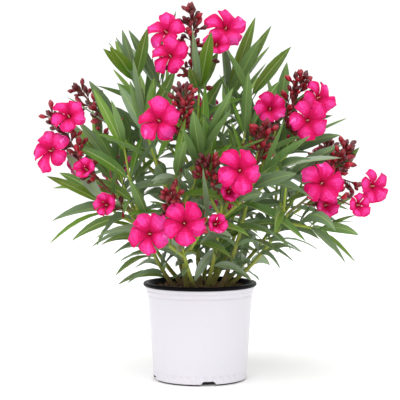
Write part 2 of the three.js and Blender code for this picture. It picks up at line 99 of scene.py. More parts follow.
# Whorls of leaves: their pitch from the stem in degrees, then their length, droop and youth as shares. On a
# stem they go from the first value at its lowest whorl towards the second.
STEM_WHORL = SimpleNamespace(pitch=(70, 56), length=(0.78, 1.02), droop=(0.58, 0.3), youth=(0, 0.5))
SHOOT_WHORLS = (
    SimpleNamespace(along=0.38, pitch=64, length=0.98, droop=0.32, youth=0.5),
    SimpleNamespace(along=0.68, pitch=48, length=1.06, droop=0.2, youth=0.72),
    SimpleNamespace(along=0.95, pitch=28, length=1.02, droop=0.08, youth=0.94),
)
BLOOM = SimpleNamespace(radius=41 * MM, tube=20 * MM, drop=0.15, tilt=12, petals=5)
BUD = SimpleNamespace(length=19 * MM, radius=5.2 * MM, stalk=13 * MM, first=0.4, turn=137.5)
# No finer leaf comes nearer than this to the front of a bloom's face, or lower than this.
FACE_CLEAR_DEPTH = 130 * MM
LOWEST_TIP = 162 * MM
# Two points this near are one place.
SAME_PLACE = 0.3 * MM

# Every stem, in millimetres and degrees. A place is (bearing, reach, height or rise), and a bloom's also has
# its age, from 0 to 1. The shoots, the stalk and the blooms are placed from the stem's fork.
SHOOT_FAN = ((-78, 56, 102), (12, 64, 84), (100, 60, 62))
STEMS = (
    dict(name="centre", foot=(90, 4), fork=(130, 20, 392),
         shoots=((284, 47, 113), (21, 68, 104), (150, 68, 128)),
         stalk=(262, 21, 246), buds=13, looks=258,
         blooms=((213, 56, 218, 0.9), (235, 68, 175, 0.9), (337, 64, 226, 1), (312, 61, 193, 0.6))),
    dict(name="front_left", foot=(221, 30), fork=(247, 92, 330),
         shoots=((160, 58, 104), (340, 46, 74), (265, 52, 34)),
         stalk=(290, 27, 158), buds=12, looks=266,
         blooms=((243, 73, 125, 1),)),
    dict(name="left", foot=(187, 46), fork=(201, 112, 288),
         shoots=((240, 46, 116), (150, 60, 66), (205, 66, 26)),
         stalk=(188, 141, 168), buds=13, looks=256,
         blooms=((195, 157, 116, 1), (201, 126, 174, 0.8), (207, 98, 83, 0.45), (231, 83, 24, 0.5))),
    dict(name="left_high", foot=(155, 26), fork=(138, 92, 378),
         shoots=((227, 66, 146), (118, 62, 96), (190, 74, 58)),
         stalk=(180, 141, 126), buds=8, looks=200,
         blooms=()),
    dict(name="front_right", foot=(299, 25), fork=(292, 98, 312),
         shoots=((37, 51, 124), (352, 70, 56), (205, 40, 64)),
         stalk=(251, 73, 64), buds=9, looks=272,
         blooms=((284, 118, 62, 1), (277, 84, 26, 0.4))),
    dict(name="right_high", foot=(5, 20), fork=(18, 104, 376),
         shoots=((258, 53, 120), (52, 74, 84), (10, 66, 40)),
         stalk=(331, 86, 140), buds=12, looks=286,
         blooms=((287, 75, 99, 0.7), (312, 130, 80, 1), (334, 119, 119, 0.85))),
    dict(name="right_front", foot=(324, 44), fork=(318, 118, 352),
         shoots=((70, 46, 78), (345, 64, 50)),
         stalk=(328, 21, 76), buds=9, looks=290,
         blooms=()),
    dict(name="right", foot=(350, 47), fork=(342, 160, 296),
         shoots=((100, 48, 84), (262, 50, 54), (5, 54, -30)),
         stalk=(12, 98, 100), buds=13, looks=280,
         blooms=((324, 69, 54, 1), (350, 63, 14, 0.6), (4, 146, 46, 0.8), (348, 118, 15, 0.55))),
    dict(name="front_low", foot=(258, 39), fork=(254, 104, 240),
         shoots=((200, 58, 42), (320, 52, 50)),
         stalk=(259, 92, 84), buds=9, looks=268,
         blooms=((239, 105, 30, 0.95), (272, 120, 49, 1), (299, 109, 46, 0.4))),
    dict(name="back_right", foot=(55, 34), fork=(52, 118, 340),
         stalk=(30, 88, 128), buds=10, looks=58,
         blooms=((56, 96, 88, 1), (18, 104, 92, 0.85), (84, 62, 34, 0.4))),
    dict(name="back", foot=(93, 34), fork=(92, 112, 366),
         stalk=(112, 74, 140), buds=10, looks=92,
         blooms=((82, 92, 108, 1), (128, 94, 84, 0.85))),
    dict(name="back_left", foot=(135, 42), fork=(150, 138, 300),
         stalk=(134, 98, 118), buds=10, looks=142,
         blooms=((112, 104, 76, 1), (158, 112, 84, 0.9), (136, 76, 28, 0.4))),
    dict(name="back_low", foot=(84, 54), fork=(84, 150, 262),
         shoots=((120, 58, 62), (40, 56, 54)),
         stalk=(76, 66, 82), buds=8, looks=80,
         blooms=((56, 74, 44, 1), (104, 70, 26, 0.7))),
    dict(name="right_back", foot=(25, 38), fork=(22, 158, 292),
         shoots=((92, 52, 98), (325, 50, 66), (350, 60, 26)),
         stalk=(28, 98, 112), buds=10, looks=22,
         blooms=((2, 98, 66, 1), (46, 112, 84, 0.85))),
)

# The seeded scatter of the construction model, then numbers that keep one kind of draw apart from another.
KEY_STEPS = (12.9898, 78.233, 37.719, 9.131)
SCATTER = 43758.5453
DRAWS = SimpleNamespace(
    tufts=30, axils=40, low_leaves=50, petals=60, buds=90, bracts=95, chips=200, side_buds=300, leaders=600,
)

# What all leaves but the leaders are kept within: a dome, and its two sides below the height of the skirt.
CROWN = SimpleNamespace(top=655 * MM, fall=2.3, left=-291 * MM, right=272 * MM, skirt=330 * MM)


# ---- settings ----

def srgb(red, green, blue):
    """A colour given from 0 to 255 as it looks, turned to linear light."""
    def linear(value):
        share = value / 255
        return share / 12.92 if share <= 0.04045 else ((share + 0.055) / 1.055) ** 2.4
    return linear(red), linear(green), linear(blue)


def colour_setting(name, description, red, green, blue):
    """A colour, given from 0 to 255 as it looks."""
    return FloatVectorProperty(
        name=name, description=description, default=srgb(red, green, blue), subtype="COLOR", min=0, max=1,
    )


def length_setting(name, description, millimetres):
    """A length, given in millimetres."""
    return FloatProperty(name=name, description=description, default=millimetres * MM, unit="LENGTH", min=0)


def angle_setting(name, description, degrees):
    """An angle, given in degrees."""
    return FloatProperty(name=name, description=description, default=math.radians(degrees), subtype="ANGLE")


def number_setting(name, description, number):
    """A plain number, such as a share or a strength."""
    return FloatProperty(name=name, description=description, default=number, min=0)


def count_setting(name, description, count, least=0):
    """A whole number."""
    return IntProperty(name=name, description=description, default=count, min=least)


class OleanderPotSettings(bpy.types.PropertyGroup):
    """The nursery pot and its potting mix."""
    flutes: count_setting("Flutes", "Shallow flutes round the foot of the wall", 36, least=3)
    flute_depth: length_setting("Flute depth", "How far each flute is pressed in", 0.9)
    flute_height: length_setting("Flute height", "How high the flutes reach up the wall", 17)
    wall: colour_setting("Wall", "Colour of the wall", 222, 217, 224)
    # The base colour is partly the black inner plastic of such pots and partly painted shade: it also darkens
    # the crevice under the foot.
    base: colour_setting("Base", "Colour of the raised base inside the foot", 20, 20, 22)
    rim: colour_setting("Rim", "Colour of the rolled lip and lining", 8, 6, 10)
    chips: count_setting("Bark chips", "Chips scattered on the mix", 1500)
    soil: colour_setting("Mix", "Colour of the moist mix", 62, 42, 32)
    chip_light: colour_setting("Light chips", "Colour of the driest bark chips", 158, 118, 86)


class OleanderFoliageSettings(bpy.types.PropertyGroup):
    """Stems, shoots and leaves."""
    leaf_width: number_setting("Leaf width", "Width as a share of the model's blades", 0.89)
    leaf_fold: number_setting("Leaf fold", "Rise of a leaf's edges per width", 0.42)
    leaf_thickness: length_setting("Leaf thickness", "Thickness of a blade beside its midrib", 0.55)
    leaf_twist: angle_setting("Leaf twist", "Most that a blade turns from root to tip", 34)
    tuft: count_setting("Tuft", "Young leaves at the tip of each shoot", 2)
    young: colour_setting("Young leaves", "Upper side of the youngest leaves", 100, 140, 36)
    mature: colour_setting("Mature leaves", "Upper side of the mature leaves", 71, 118, 28)
    shaded: colour_setting("Shaded leaves", "Upper side of the lowest leaves", 78, 112, 52)
    under: colour_setting("Undersides", "Underside of the leaves", 112, 136, 96)
    # The dull leaves' grey-green is partly a waxy bloom and partly painted sheen: white light reflected off
    # glossy leaves.
    grey_bloom_and_sheen: colour_setting("Dull leaves", "Upper side of the leaves with a grey bloom", 144, 162, 136)
    midrib: colour_setting("Midribs", "Midrib of a mature leaf", 140, 166, 90)
    bark: colour_setting("Bark", "Oldest bark at the feet of the stems", 122, 104, 62)
    green_wood: colour_setting("Green wood", "Bark of the youngest shoots", 160, 180, 62)


class OleanderBlossomSettings(bpy.types.PropertyGroup):
    """Flower stalks, buds and blooms."""
    petal_reach: number_setting("Petal reach", "Reach as a share of the model's", 0.93)
    petal_width: number_setting("Petal width", "Half width as a share of reach", 0.38)
    ruffle: length_setting("Ruffle", "Height of the waves in a petal", 1.5)
    throat: colour_setting("Throat", "Petals at the throat", 176, 0, 52)
    petal: colour_setting("Petals", "Petals at mid length", 214, 2, 92)
    petal_tip: colour_setting("Petal tips", "Outer part of the petals", 242, 66, 168)
    streak: colour_setting("Streaks", "Pale streaks on some petals", 240, 92, 184)
    anther: colour_setting("Anthers", "Cone of anthers in the throat", 232, 186, 150)
    stalk: colour_setting("Stalks", "Flower stalks", 116, 56, 38)
    bud_dark: colour_setting("Small buds", "Youngest buds", 82, 8, 18)
    bud_bright: colour_setting("Ripe buds", "Buds about to open", 178, 8, 44)
    small_buds: count_setting("Small buds", "Small buds beside each large one", 3)
    side_buds: count_setting("Side buds", "Small buds on each bloom's stalk", 7)


class OleanderStageSettings(bpy.types.PropertyGroup):
    """Floor, lights and camera."""
    distance: length_setting("Distance", "From the plant's middle to the camera", 2400)
    height: length_setting("Height", "Height of the camera", 430)
    aim: length_setting("Aim", "Height that the camera looks at", 316)
    lens: number_setting("Lens", "Focal length in millimetres", 122.9)
    key: number_setting("Key light", "Strength of the soft light above the front", 1.62)
    key_softness: angle_setting("Key softness", "Angle that the key light fills", 65)
    horizon: number_setting("Horizon", "Strength of the white surroundings low down", 1.08)
    sky: number_setting("Sky", "Strength of the white surroundings high up", 0.88)
    floor: colour_setting("Floor", "Colour of the pale floor", 250, 250, 250)
    floor_glow: number_setting("Floor glow", "Light given off by the backlit floor", 0.08)


# ---- vectors and curves ----

def mix(low, high, share):
    """The number some share of the way from low to high."""
    return low + (high - low) * share


def clamp(value, low=0.0, high=1.0):
    """The number nearest to a value between low and high."""
    return max(low, min(high, value))


def evenly(low, high, steps):
    """Numbers from low to high in even steps."""
    return [mix(low, high, i / steps) for i in range(steps + 1)]


def passed(length, low, high):
    """How far a length has come from low to high millimetres, from 0 to 1."""
    return clamp((length / MM - low) / (high - low))


def from_axis(point):
    """A point's distance from the pot's axis."""
    return math.hypot(point.x, point.y)


def polar(bearing, reach, rise):
    """The vector that goes reach mm towards a bearing and rise mm up."""
    angle = math.radians(bearing)
    return Vector((reach * math.cos(angle), reach * math.sin(angle), rise)) * MM


def heading(bearing, tilt):
    """A unit vector towards a bearing, tilted up from level."""
    level, angle = math.cos(math.radians(tilt)), math.radians(bearing)
    return Vector((level * math.cos(angle), level * math.sin(angle), math.sin(math.radians(tilt))))


def chance(*keys):
    """A number from 0 to 1 that depends only on its keys."""
    total = 1.7
    for key, step in zip(keys, KEY_STEPS):
        total += key * step
    wave = SCATTER * math.sin(total)
    return wave - math.floor(wave)


def vary(spread, *keys):
    """A number from -spread to spread that depends only on its keys."""
    return spread * (2 * chance(*keys) - 1)


def sideways(axis):
    """Two unit vectors square to an axis."""
    first = BACK.cross(axis).normalized()
    return first, axis.cross(first)


def spoke(axis, angle):
    """A unit vector square to an axis, turned round it by an angle in degrees."""
    first, second = sideways(axis)
    return first * math.cos(math.radians(angle)) + second * math.sin(math.radians(angle))


class Curve:
    """A quadratic curve from a start, drawn by a bend, to an end."""

    def __init__(self, start, bend, end):
        self.start, self.bend, self.end = start.copy(), bend.copy(), end.copy()

    def point(self, t):
        """The point at a share of the curve."""
        return self.start * (1 - t) ** 2 + self.bend * (2 * t * (1 - t)) + self.end * t ** 2

    def tangent(self, t):
        """The way in which the curve goes at a share of it."""
        return ((self.bend - self.start) * (1 - t) + (self.end - self.bend) * t).normalized()

    def length(self):
        """The curve's length, measured in short steps."""
        points = [self.point(t) for t in evenly(0, 1, 200)]
        return sum((b - a).length for a, b in zip(points, points[1:]))


def rising(start, end):
    """A curve that leaves its start at a slant and ends steeper."""
    bend = start.lerp(end, 0.62)
    bend.z = mix(start.z, end.z, 0.4)
    return Curve(start, bend, end)


def straight(start, end):
    """A straight line, as a curve."""
    return Curve(start, start.lerp(end, 0.5), end)


# ---- the plan of the plant, by the construction model's rule ----

def sprig_on(twig):
    """A finer twig that goes on from a shoot's tip, longer the higher it stands."""
    length = mix(6, 22, passed(twig.end.z, 380, 490)) * MM
    way = (twig.tangent(1) + UP * 0.4).normalized()
    return Curve(twig.end, twig.end + twig.tangent(1) * (length / 2), twig.end + way * length)


def plan_stem(index, stem):
    """A stem's curves: its trunk from foot to fork, then shoots and flower stalk, placed from the fork."""
    fork = polar(*stem["fork"])
    trunk = rising(polar(*stem["foot"], MIX_TOP / MM) + UP * LIMB.gap, fork)
    fan = [(stem["fork"][0] + turn, reach, rise) for turn, reach, rise in SHOOT_FAN]
    tips = [polar(*tip) + fork for tip in stem.get("shoots", fan)]
    stalk_start = fork + trunk.tangent(1) * LIMB.gap
    twigs = [rising(trunk.point(SHOOT.start + SHOOT.step * i), tip) for i, tip in enumerate(tips)]
    return SimpleNamespace(
        index=index,
        name=stem["name"],
        trunk=trunk,
        twigs=twigs,
        sprigs=[sprig_on(twig) for twig in twigs],
        stalk=rising(stalk_start, polar(*stem["stalk"]) + fork),
        buds=stem["buds"],
        looks=stem["looks"],
        blooms=[(polar(*place) + fork, age) for *place, age in stem["blooms"]],
    )


def trunk_radius(t):
    """A stem's radius, which flares at its foot and narrows towards its fork."""
    flare = 1 + (LIMB.flare - 1) * math.exp(-22 * t)
    return mix(LIMB.foot, LIMB.fork, min(1, 1.1 * t)) * flare


def plan_leaf(at, axis, turn, whorl, keys):
    """One leaf: the curve of its midrib, the way its blade lies and its size."""
    out = spoke(axis, turn)
    pitch = math.radians(whorl.pitch + vary(7, *keys, 1))
    way = (axis * math.cos(pitch) + out * math.sin(pitch) + UP * LEAF.lift).normalized()
    length = LEAF.length * whorl.length * (1 + vary(0.13, *keys, 2))
    sag = (out * 0.45 - UP).normalized() * (length * whorl.droop * (1 + vary(0.4, *keys, 3)))
    face = way.cross(axis.cross(out)).normalized()
    face += Vector((at.x, at.y, 0)).normalized() * LEAF.lean
    across = face.cross(way).normalized()
    across.rotate(Quaternion(way, math.radians(vary(LEAF.roll, *keys, 4))))
    curve = Curve(at + way * LEAF.root, at + way * (length / 2), at + way * length + sag)
    half = (LEAF.width / 2) * min(1, length / LEAF.length + 0.1)
    return SimpleNamespace(
        curve=curve, across=across, length=length, half=half, keys=keys, youth=whorl.youth, leads=False,
    )


def whorl_of(curve, t, index, branch, level, whorl, count=LEAF.a_whorl):
    """The leaves of one whorl, each as the list of ways in which it could grow."""
    at, axis = curve.point(t), curve.tangent(t)
    roll = 60 * level + 360 * chance(index, branch, 0, 5)
    for i in range(count):
        keys = (index, 10 * branch + level, i)
        turn = roll + 360 / count * i + vary(14, *keys, 6)
        yield [plan_leaf(at, axis, turn + aside, whorl, keys) for aside in LEAF.asides]


def plan_leaves(plan):
    """All the leaves that a stem's top would bear, lowest first."""
    levels = max(2, math.floor((1 - LIMB.bare_share) * plan.trunk.length() / LEAF.internode + 0.5))
    for level in range(levels):
        share = level / levels
        whorl = SimpleNamespace(
            pitch=mix(*STEM_WHORL.pitch, share),
            length=mix(*STEM_WHORL.length, share),
            droop=mix(*STEM_WHORL.droop, share),
            youth=mix(*STEM_WHORL.youth, share),
        )
        t = mix(LIMB.bare_share + 0.05, SHOOT.start, share)
        yield from whorl_of(plan.trunk, t, plan.index, 0, level, whorl)
    for i, twig in enumerate(plan.twigs):
        for level, whorl in enumerate(SHOOT_WHORLS):
            yield from whorl_of(twig, whorl.along, plan.index, i + 1, level, whorl)


def plan_blooms(plan):
    """Each bloom's root on the stalk, its centre, the way it faces, its age and how far its parts reach."""
    shares = evenly(0.25, 1, 15)
    for centre, age in plan.blooms:
        nearest = min(shares, key=lambda share: (plan.stalk.point(share) - centre).length)
        root = plan.stalk.point(nearest - BLOOM.drop)
        face = heading(plan.looks, BLOOM.tilt).lerp((centre - root).normalized(), 0.35).normalized()
        forward = BLOOM.radius * mix(0.7, 0, age)
        yield SimpleNamespace(
            root=root, centre=centre, face=face, age=age,
            reach=BLOOM.radius * mix(0.34, 1, age), forward=forward, throat=forward * age - 5 * MM,
        )


def petal_way(bloom, number):
    """The way in which a petal points, square to the bloom's face."""
    return spoke(bloom.face, 180 + 360 / BLOOM.petals * number)


def plan_buds(plan):
    """Each bud's root on the stalk, the way it points, its length and how ripe it is."""
    for i in range(plan.buds):
        keys = (plan.index, DRAWS.buds, i)
        share = (i + 0.5) / plan.buds
        t = mix(BUD.first, 1, math.sqrt(share))
        axis = plan.stalk.tangent(t)
        pitch = math.radians(mix(62, 16, share) + vary(8, *keys, 2))
        out = spoke(axis, BUD.turn * i + vary(20, *keys, 1))
        way = axis * math.cos(pitch) + out * math.sin(pitch)
        length = (BUD.stalk + BUD.length) * (1 + vary(0.18, *keys, 3))
        yield SimpleNamespace(
            root=plan.stalk.point(t), way=way, length=length, keys=keys, share=share, axis=axis,
        )


# ---- what the construction model grew, and room for finer growth ----

def corners_of(node):
    """The corners of a construction node, to be searched by place."""
    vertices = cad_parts[node].data.vertices
    tree = KDTree(len(vertices))
    for i, vertex in enumerate(vertices):
        tree.insert(vertex.co, i)
    tree.balance()
    return tree


def stands_in(corners, point):
    """Whether the construction model has a corner at a point."""
    return corners.find(point)[2] < SAME_PLACE


def has_opened(bloom, corners):
    """Whether the construction model has the tip of one of a bloom's petals."""
    ahead = bloom.centre + bloom.face * bloom.forward
    return any(stands_in(corners, ahead + petal_way(bloom, i) * bloom.reach) for i in range(BLOOM.petals))


def coarse_blade(leaf):
    """Points and faces of a leaf's rough outline, beyond its stalk."""
    points = []
    for t, share in ((0.3, 0.6), (0.35, 1), (0.7, 0.85), (1, 0.05)):
        centre, aside = leaf.curve.point(t), leaf.across * (leaf.half * share)
        points += [centre - aside, centre + aside]
    faces = [(i, i + 1, i + 3, i + 2) for i in (0, 2, 4)]
    return points, faces


def is_shut(leaf, blooms):
    """Whether any of a leaf lies where the pot, or the view of a bloom's face, has to stay free."""
    for t in evenly(0.2, 1, 5):
        point = leaf.curve.point(t)
        over_lip = from_axis(point) < LIP_RADIUS + 8 * MM and point.z < POT_HEIGHT + 6 * MM
        if point.z < LOWEST_TIP or over_lip:
            return True
        for bloom in blooms:
            offset = point - bloom.centre
            ahead = offset.dot(bloom.face)
            aside = (offset - bloom.face * ahead).length
            if -12 * MM < ahead < FACE_CLEAR_DEPTH and aside < BLOOM.radius * mix(0.55, 1.15, bloom.age):
                return True
    return False


class Room:
    """Tells whether a finer leaf has room among what has already grown."""

    def __init__(self, blooms):
        self.blooms = blooms
        points, faces = [], []
        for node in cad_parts.values():
            first = len(points)
            points += [vertex.co.copy() for vertex in node.data.vertices]
            faces += [[first + i for i in face.vertices] for face in node.data.polygons]
        self.solids = BVHTree.FromPolygons(points, faces)
        self.added = []

    def is_free(self, leaf):
        """Whether a leaf stays in the model's bounds and touches nothing; one that does takes up its room."""
        low, high = CAD_BOX
        tip = leaf.curve.end
        if not all(low[i] + MM < tip[i] < high[i] - MM for i in range(3)):
            return False
        if is_shut(leaf, [] if leaf.leads else self.blooms):
            return False
        blade = BVHTree.FromPolygons(*coarse_blade(leaf))
        if blade.overlap(self.solids) or any(blade.overlap(other) for other in self.added):
            return False
        self.added.append(blade)
        return True


# Leaves that go on from a shoot's tip, where the crown reaches furthest or would show a hole: stem, shoot,
# turn round it, pitch and length.
LEADERS = (
    ("centre", 1, 280, 20, 1.48), ("centre", 1, 300, 28, 1.18), ("centre", 0, 268, 22, 1.05),
    ("left_high", 0, 330, 28, 0.8), ("left_high", 0, 232, 44, 0.9), ("left_high", 0, 240, 58, 0.8),
    ("right_high", 0, 312, 50, 1.0), ("centre", 0, 64, 58, 0.75), ("centre", 0, 256, 58, 0.8),
    ("front_left", 0, 48, 50, 1.3), ("centre", 1, 96, 58, 0.8),
)
LEADER_ASIDES = (0, 8, -8, 16, -16, 24, -24, 32, -32)
# Stems whose shoots end without a tuft.
UNTUFTED = ("right_high", "back_right")


def plan_leader(plan, number, shoot, turn, pitch, length):
    """The ways in which a leader could grow on from its shoot's tip, broad side to the front."""
    whorl = SimpleNamespace(pitch=pitch, length=length, droop=0.06, youth=0.55)
    twig, keys = plan.twigs[shoot], (plan.index, DRAWS.leaders, number)
    for aside in LEADER_ASIDES:
        leaf = plan_leaf(twig.end, twig.tangent(1), turn + aside, whorl, keys)
        leaf.leads = True
        leaf.half *= 1.1
        leaf.across = leaf.curve.tangent(0.5).cross(BACK).normalized()
        yield leaf


def plan_fine_leaves(plan):
    """Finer leaves: leaders, tufts at the tips, small leaves in the axils and low on the stem."""
    tuft = bpy.context.scene.oleander_foliage.tuft
    for number, (name, *place) in enumerate(LEADERS):
        if name == plan.name:
            yield plan_leader(plan, number, *place)
    for i, sprig in enumerate(plan.sprigs if plan.name not in UNTUFTED else ()):
        for level in range(tuft):
            share = level / tuft
            pitch, length = mix(34, 8, share), mix(1.1, 0.45, share)
            whorl = SimpleNamespace(pitch=pitch, length=length, droop=0.06, youth=1)
            yield from whorl_of(sprig, mix(0.1, 1, share), plan.index, DRAWS.tufts + i, level, whorl, 1)
    whorl = SimpleNamespace(pitch=48, length=0.5, droop=0.15, youth=0.6)
    yield from whorl_of(plan.trunk, 0.8, plan.index, DRAWS.axils, 0, whorl, 2)
    for level in range(2):
        whorl = SimpleNamespace(pitch=60, length=0.9, droop=0.3, youth=0.2)
        yield from whorl_of(plan.trunk, 0.14 + 0.08 * level, plan.index, DRAWS.low_leaves, level, whorl, 1)


def is_beyond_crown(point):
    """Whether a point lies over the crown's dome, or beyond its skirt."""
    over = point.z > CROWN.top - CROWN.fall * point.x ** 2
    return over or (not CROWN.left < point.x < CROWN.right and point.z < CROWN.skirt)


def fitted(leaf):
    """A leaf fitted to its place: small over the pot's mouth, within the crown, arched where it lies low."""
    if leaf.leads:
        return leaf
    tip = leaf.curve.end
    beside = passed(abs(tip.x), 95, 140) * mix(0.5, 1, passed(tip.z, 190, 310))
    share = mix(0.42, 1, max(passed(tip.z, 178, 250), beside))
    while share > 0.5 and is_beyond_crown(leaf.curve.point(share)):
        share -= 0.03
    start, level = leaf.curve.start, 1 - abs(leaf.curve.tangent(0.5).z)
    leaf.curve = Curve(start, start.lerp(leaf.curve.bend, share), leaf.curve.point(share))
    leaf.length *= share
    leaf.half *= mix(share, 1, 0.4)
    leaf.curve.bend += UP * (0.26 * leaf.length * level * (1 - passed(tip.z, 220, 370)))
    return leaf


def grow():
    """The whole plant's plan, with the leaves, blooms and buds that each stem really bears."""
    plans = [plan_stem(i, stem) for i, stem in enumerate(STEMS)]
    for plan in plans:
        leafy, blossom = corners_of(f"leafy_{plan.name}"), corners_of(f"blossom_{plan.name}")
        plan.leaves = []
        for ways in plan_leaves(plan):
            grown = [leaf for leaf in ways if stands_in(leafy, leaf.curve.end)]
            plan.leaves += map(fitted, grown[:1])
        plan.open_blooms = [bloom for bloom in plan_blooms(plan) if has_opened(bloom, blossom)]
        plan.closed_buds = [
            bud for bud in plan_buds(plan) if stands_in(blossom, bud.root + bud.way * bud.length)
        ]
    room = Room([bloom for plan in plans for bloom in plan.open_blooms])
    for plan in plans:
        found = [next(filter(room.is_free, map(fitted, ways)), None) for ways in plan_fine_leaves(plan)]
        plan.fine_leaves = [leaf for leaf in found if leaf]
    return plans


# ---- joined meshes of many small shapes ----

def rows_of(points):
    """Points as the rows of an array."""
    return np.array([tuple(point) for point in points])


def ring_of(centre, axis, reaches, turn=0, flat=1):
    """A ring of points square to an axis, one at each of some distances; flat squeezes it one way."""
    first, second = sideways(axis)
    angles = [math.radians(360 / len(reaches) * k + turn) for k in range(len(reaches))]
    return rows_of(
        centre + (first * math.cos(angle) + second * (flat * math.sin(angle))) * reach
        for angle, reach in zip(angles, reaches)
    )


def knots(t, count, height, width):
    """A swelling that comes back a number of times along a curve."""
    return height * math.exp(-((t * count % 1 - 0.5) / width) ** 2)


class Heap:
    """Many closed sleeves that become the one mesh of a piece."""

    def __init__(self):
        self.points, self.loops, self.sizes, self.slots = [], [], [], []
        self.count = 0

    def sleeve(self, start, rings, end, slots):
        """Adds a closed sleeve from a start point, through rings of points, to an end point.

        Each ring runs by the right-hand rule round the way from start to end. slots is one material index,
        or a table of them with a row for each band of faces and a column for each face round it."""
        rings = np.asarray(rings, float)
        bands, around = rings.shape[:2]
        near = np.arange(around)
        beside = (near + 1) % around
        ring = 1 + np.arange(bands)[:, None] * around
        low, low_beside = ring[:-1] + near, ring[:-1] + beside
        quads = np.stack([low, low_beside, low_beside + around, low + around], axis=-1)
        # The faces of the ring's second half divide the other way, so both sides of a thin sheet fold alike.
        quads[:, around // 2:] = np.roll(quads[:, around // 2:], -1, axis=-1)
        quads = quads.reshape(-1, 4)
        last = 1 + bands * around
        fan = np.stack([np.zeros(around, int), 1 + beside, 1 + near], axis=-1)
        cap = np.stack([ring[-1] + near, ring[-1] + beside, np.full(around, last)], axis=-1)
        self.loops.append(np.concatenate([fan.ravel(), quads.ravel(), cap.ravel()]) + self.count)
        self.sizes.append(np.concatenate([np.full(around, 3), np.full(len(quads), 4), np.full(around, 3)]))
        self.slots.append(np.broadcast_to(slots, (bands + 1, around)).ravel())
        self.points.append(np.concatenate([[tuple(start)], rings.reshape(-1, 3), [tuple(end)]]))
        self.count += bands * around + 2

    def piece(self, name, materials, sharp):
        """The mesh object of all that was added, smooth but for edges sharper than an angle in degrees."""
        mesh = bpy.data.meshes.new(name)
        points, loops = np.concatenate(self.points), np.concatenate(self.loops)
        sizes, slots = np.concatenate(self.sizes), np.concatenate(self.slots)
        mesh.vertices.add(len(points))
        mesh.vertices.foreach_set("co", points.astype(np.float32).ravel())
        mesh.loops.add(len(loops))
        mesh.loops.foreach_set("vertex_index", loops.astype(np.int32))
        mesh.polygons.add(len(sizes))
        mesh.polygons.foreach_set("loop_start", (np.cumsum(sizes) - sizes).astype(np.int32))
        mesh.polygons.foreach_set("material_index", slots.astype(np.int32))
        for material in materials:
            mesh.materials.append(material)
        mesh.update(calc_edges=True)
        mesh.validate()
        piece = bpy.data.objects.new(name, mesh)
        bpy.context.scene.collection.objects.link(piece)
        smooth(piece, sharp)
        return piece


def add_tube(heap, curve, shares, radius_at, sides, slots):
    """Adds a tube round a curve, whose radius may depend on its share and on the angle round it."""
    angles = [2 * math.pi * k / sides for k in range(sides)]
    rings = []
    for t in shares:
        reaches = [radius_at(t, angle) for angle in angles]
        rings.append(ring_of(curve.point(t), curve.tangent(t), reaches))
    heap.sleeve(curve.point(shares[0]), rings, curve.point(shares[-1]), slots)


# ---- Blender helpers ----

def pick(piece):
    """Leaves one object selected and active."""
    if bpy.context.mode != "OBJECT":
        bpy.ops.object.mode_set(mode="OBJECT")
    bpy.ops.object.select_all(action="DESELECT")
    piece.select_set(True)
    bpy.context.view_layer.objects.active = piece


def smooth(piece, sharp):
    """Shades a piece smooth but for edges sharper than an angle in degrees."""
    pick(piece)
    bpy.ops.object.shade_smooth_by_angle(angle=math.radians(sharp))


def select_vertices(piece, rule):
    """Selects the vertices whose places follow a rule, in edit mode."""
    bpy.ops.mesh.select_mode(type="VERT")
    bpy.ops.mesh.select_all(action="DESELECT")
    mesh = bmesh.from_edit_mesh(piece.data)
    for vertex in mesh.verts:
        vertex.select = rule(vertex.co)
    mesh.select_flush_mode()
    bmesh.update_edit_mesh(piece.data)


def settle(piece, slot, *nodes):
    """Gives a finished piece its body and hides the construction nodes that it stands for; the slot argument
    is not used.
    """
    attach(piece, "root")
    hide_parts(*nodes)


def nodes_named(kind):
    """The names of a kind of construction node, one for each stem."""
    return [f"{kind}_{stem['name']}" for stem in STEMS]


# ---- materials ----

def surface(name, colour, roughness, **sockets):
    """A plain material; sockets name further inputs of its shader, with _ for each space."""
    material = bpy.data.materials.new(name)
    material.use_nodes = True
    inputs = material.node_tree.nodes["Principled BSDF"].inputs
    inputs["Base Color"].default_value = (*colour, 1)
    inputs["Roughness"].default_value = roughness
    for socket, value in sockets.items():
        inputs[socket.replace("_", " ")].default_value = value
    return material


def add_bump(material, scale, height, stretch=(1, 1, 1)):
    """Gives a material a fine noise relief that follows the object."""
    tree = material.node_tree
    place = tree.nodes.new("ShaderNodeTexCoord")
    mapping = tree.nodes.new("ShaderNodeMapping")
    noise = tree.nodes.new("ShaderNodeTexNoise")
    bump = tree.nodes.new("ShaderNodeBump")
    mapping.inputs["Scale"].default_value = stretch
    noise.inputs["Scale"].default_value = scale
    bump.inputs["Distance"].default_value = height
    tree.links.new(place.outputs["Object"], mapping.inputs["Vector"])
    tree.links.new(mapping.outputs["Vector"], noise.inputs["Vector"])
    tree.links.new(noise.outputs["Fac"], bump.inputs["Height"])
    tree.links.new(bump.outputs["Normal"], tree.nodes["Principled BSDF"].inputs["Normal"])
    return material


def blend(first, second, share):
    """The colour or the place some share of the way from one to another."""
    return tuple(mix(a, b, share) for a, b in zip(first, second))


def toned(name, first, second, shares, roughness, **sockets):
    """Numbered materials, each some share of the way from one colour to another."""
    return [
        surface(f"{name} {i + 1}", blend(first, second, share), roughness, **sockets)
        for i, share in enumerate(shares)
    ]


def graded(name, low, middle, high, count, roughness, **sockets):
    """Numbered materials that go evenly from a low colour through a middle one to a high one."""
    materials = []
    for i in range(count):
        share = 2 * i / (count - 1)
        colour = blend(low, middle, share) if share < 1 else blend(middle, high, share - 1)
        materials.append(surface(f"{name} {i + 1}", colour, roughness, **sockets))
    return materials


# ---- the pot ----

def start_ring(name, radius, height, segments):
    """A new object whose one open ring of edges is left selected in edit mode."""
    bpy.ops.object.select_all(action="DESELECT")
    bpy.ops.mesh.primitive_circle_add(
        vertices=segments, radius=radius, fill_type="NOTHING", location=(0, 0, 0),
    )
    piece = bpy.context.object
    piece.name = name
    bpy.ops.object.mode_set(mode="EDIT")
    bpy.ops.mesh.select_all(action="SELECT")
    bpy.ops.transform.translate(value=(0, 0, height))
    return piece


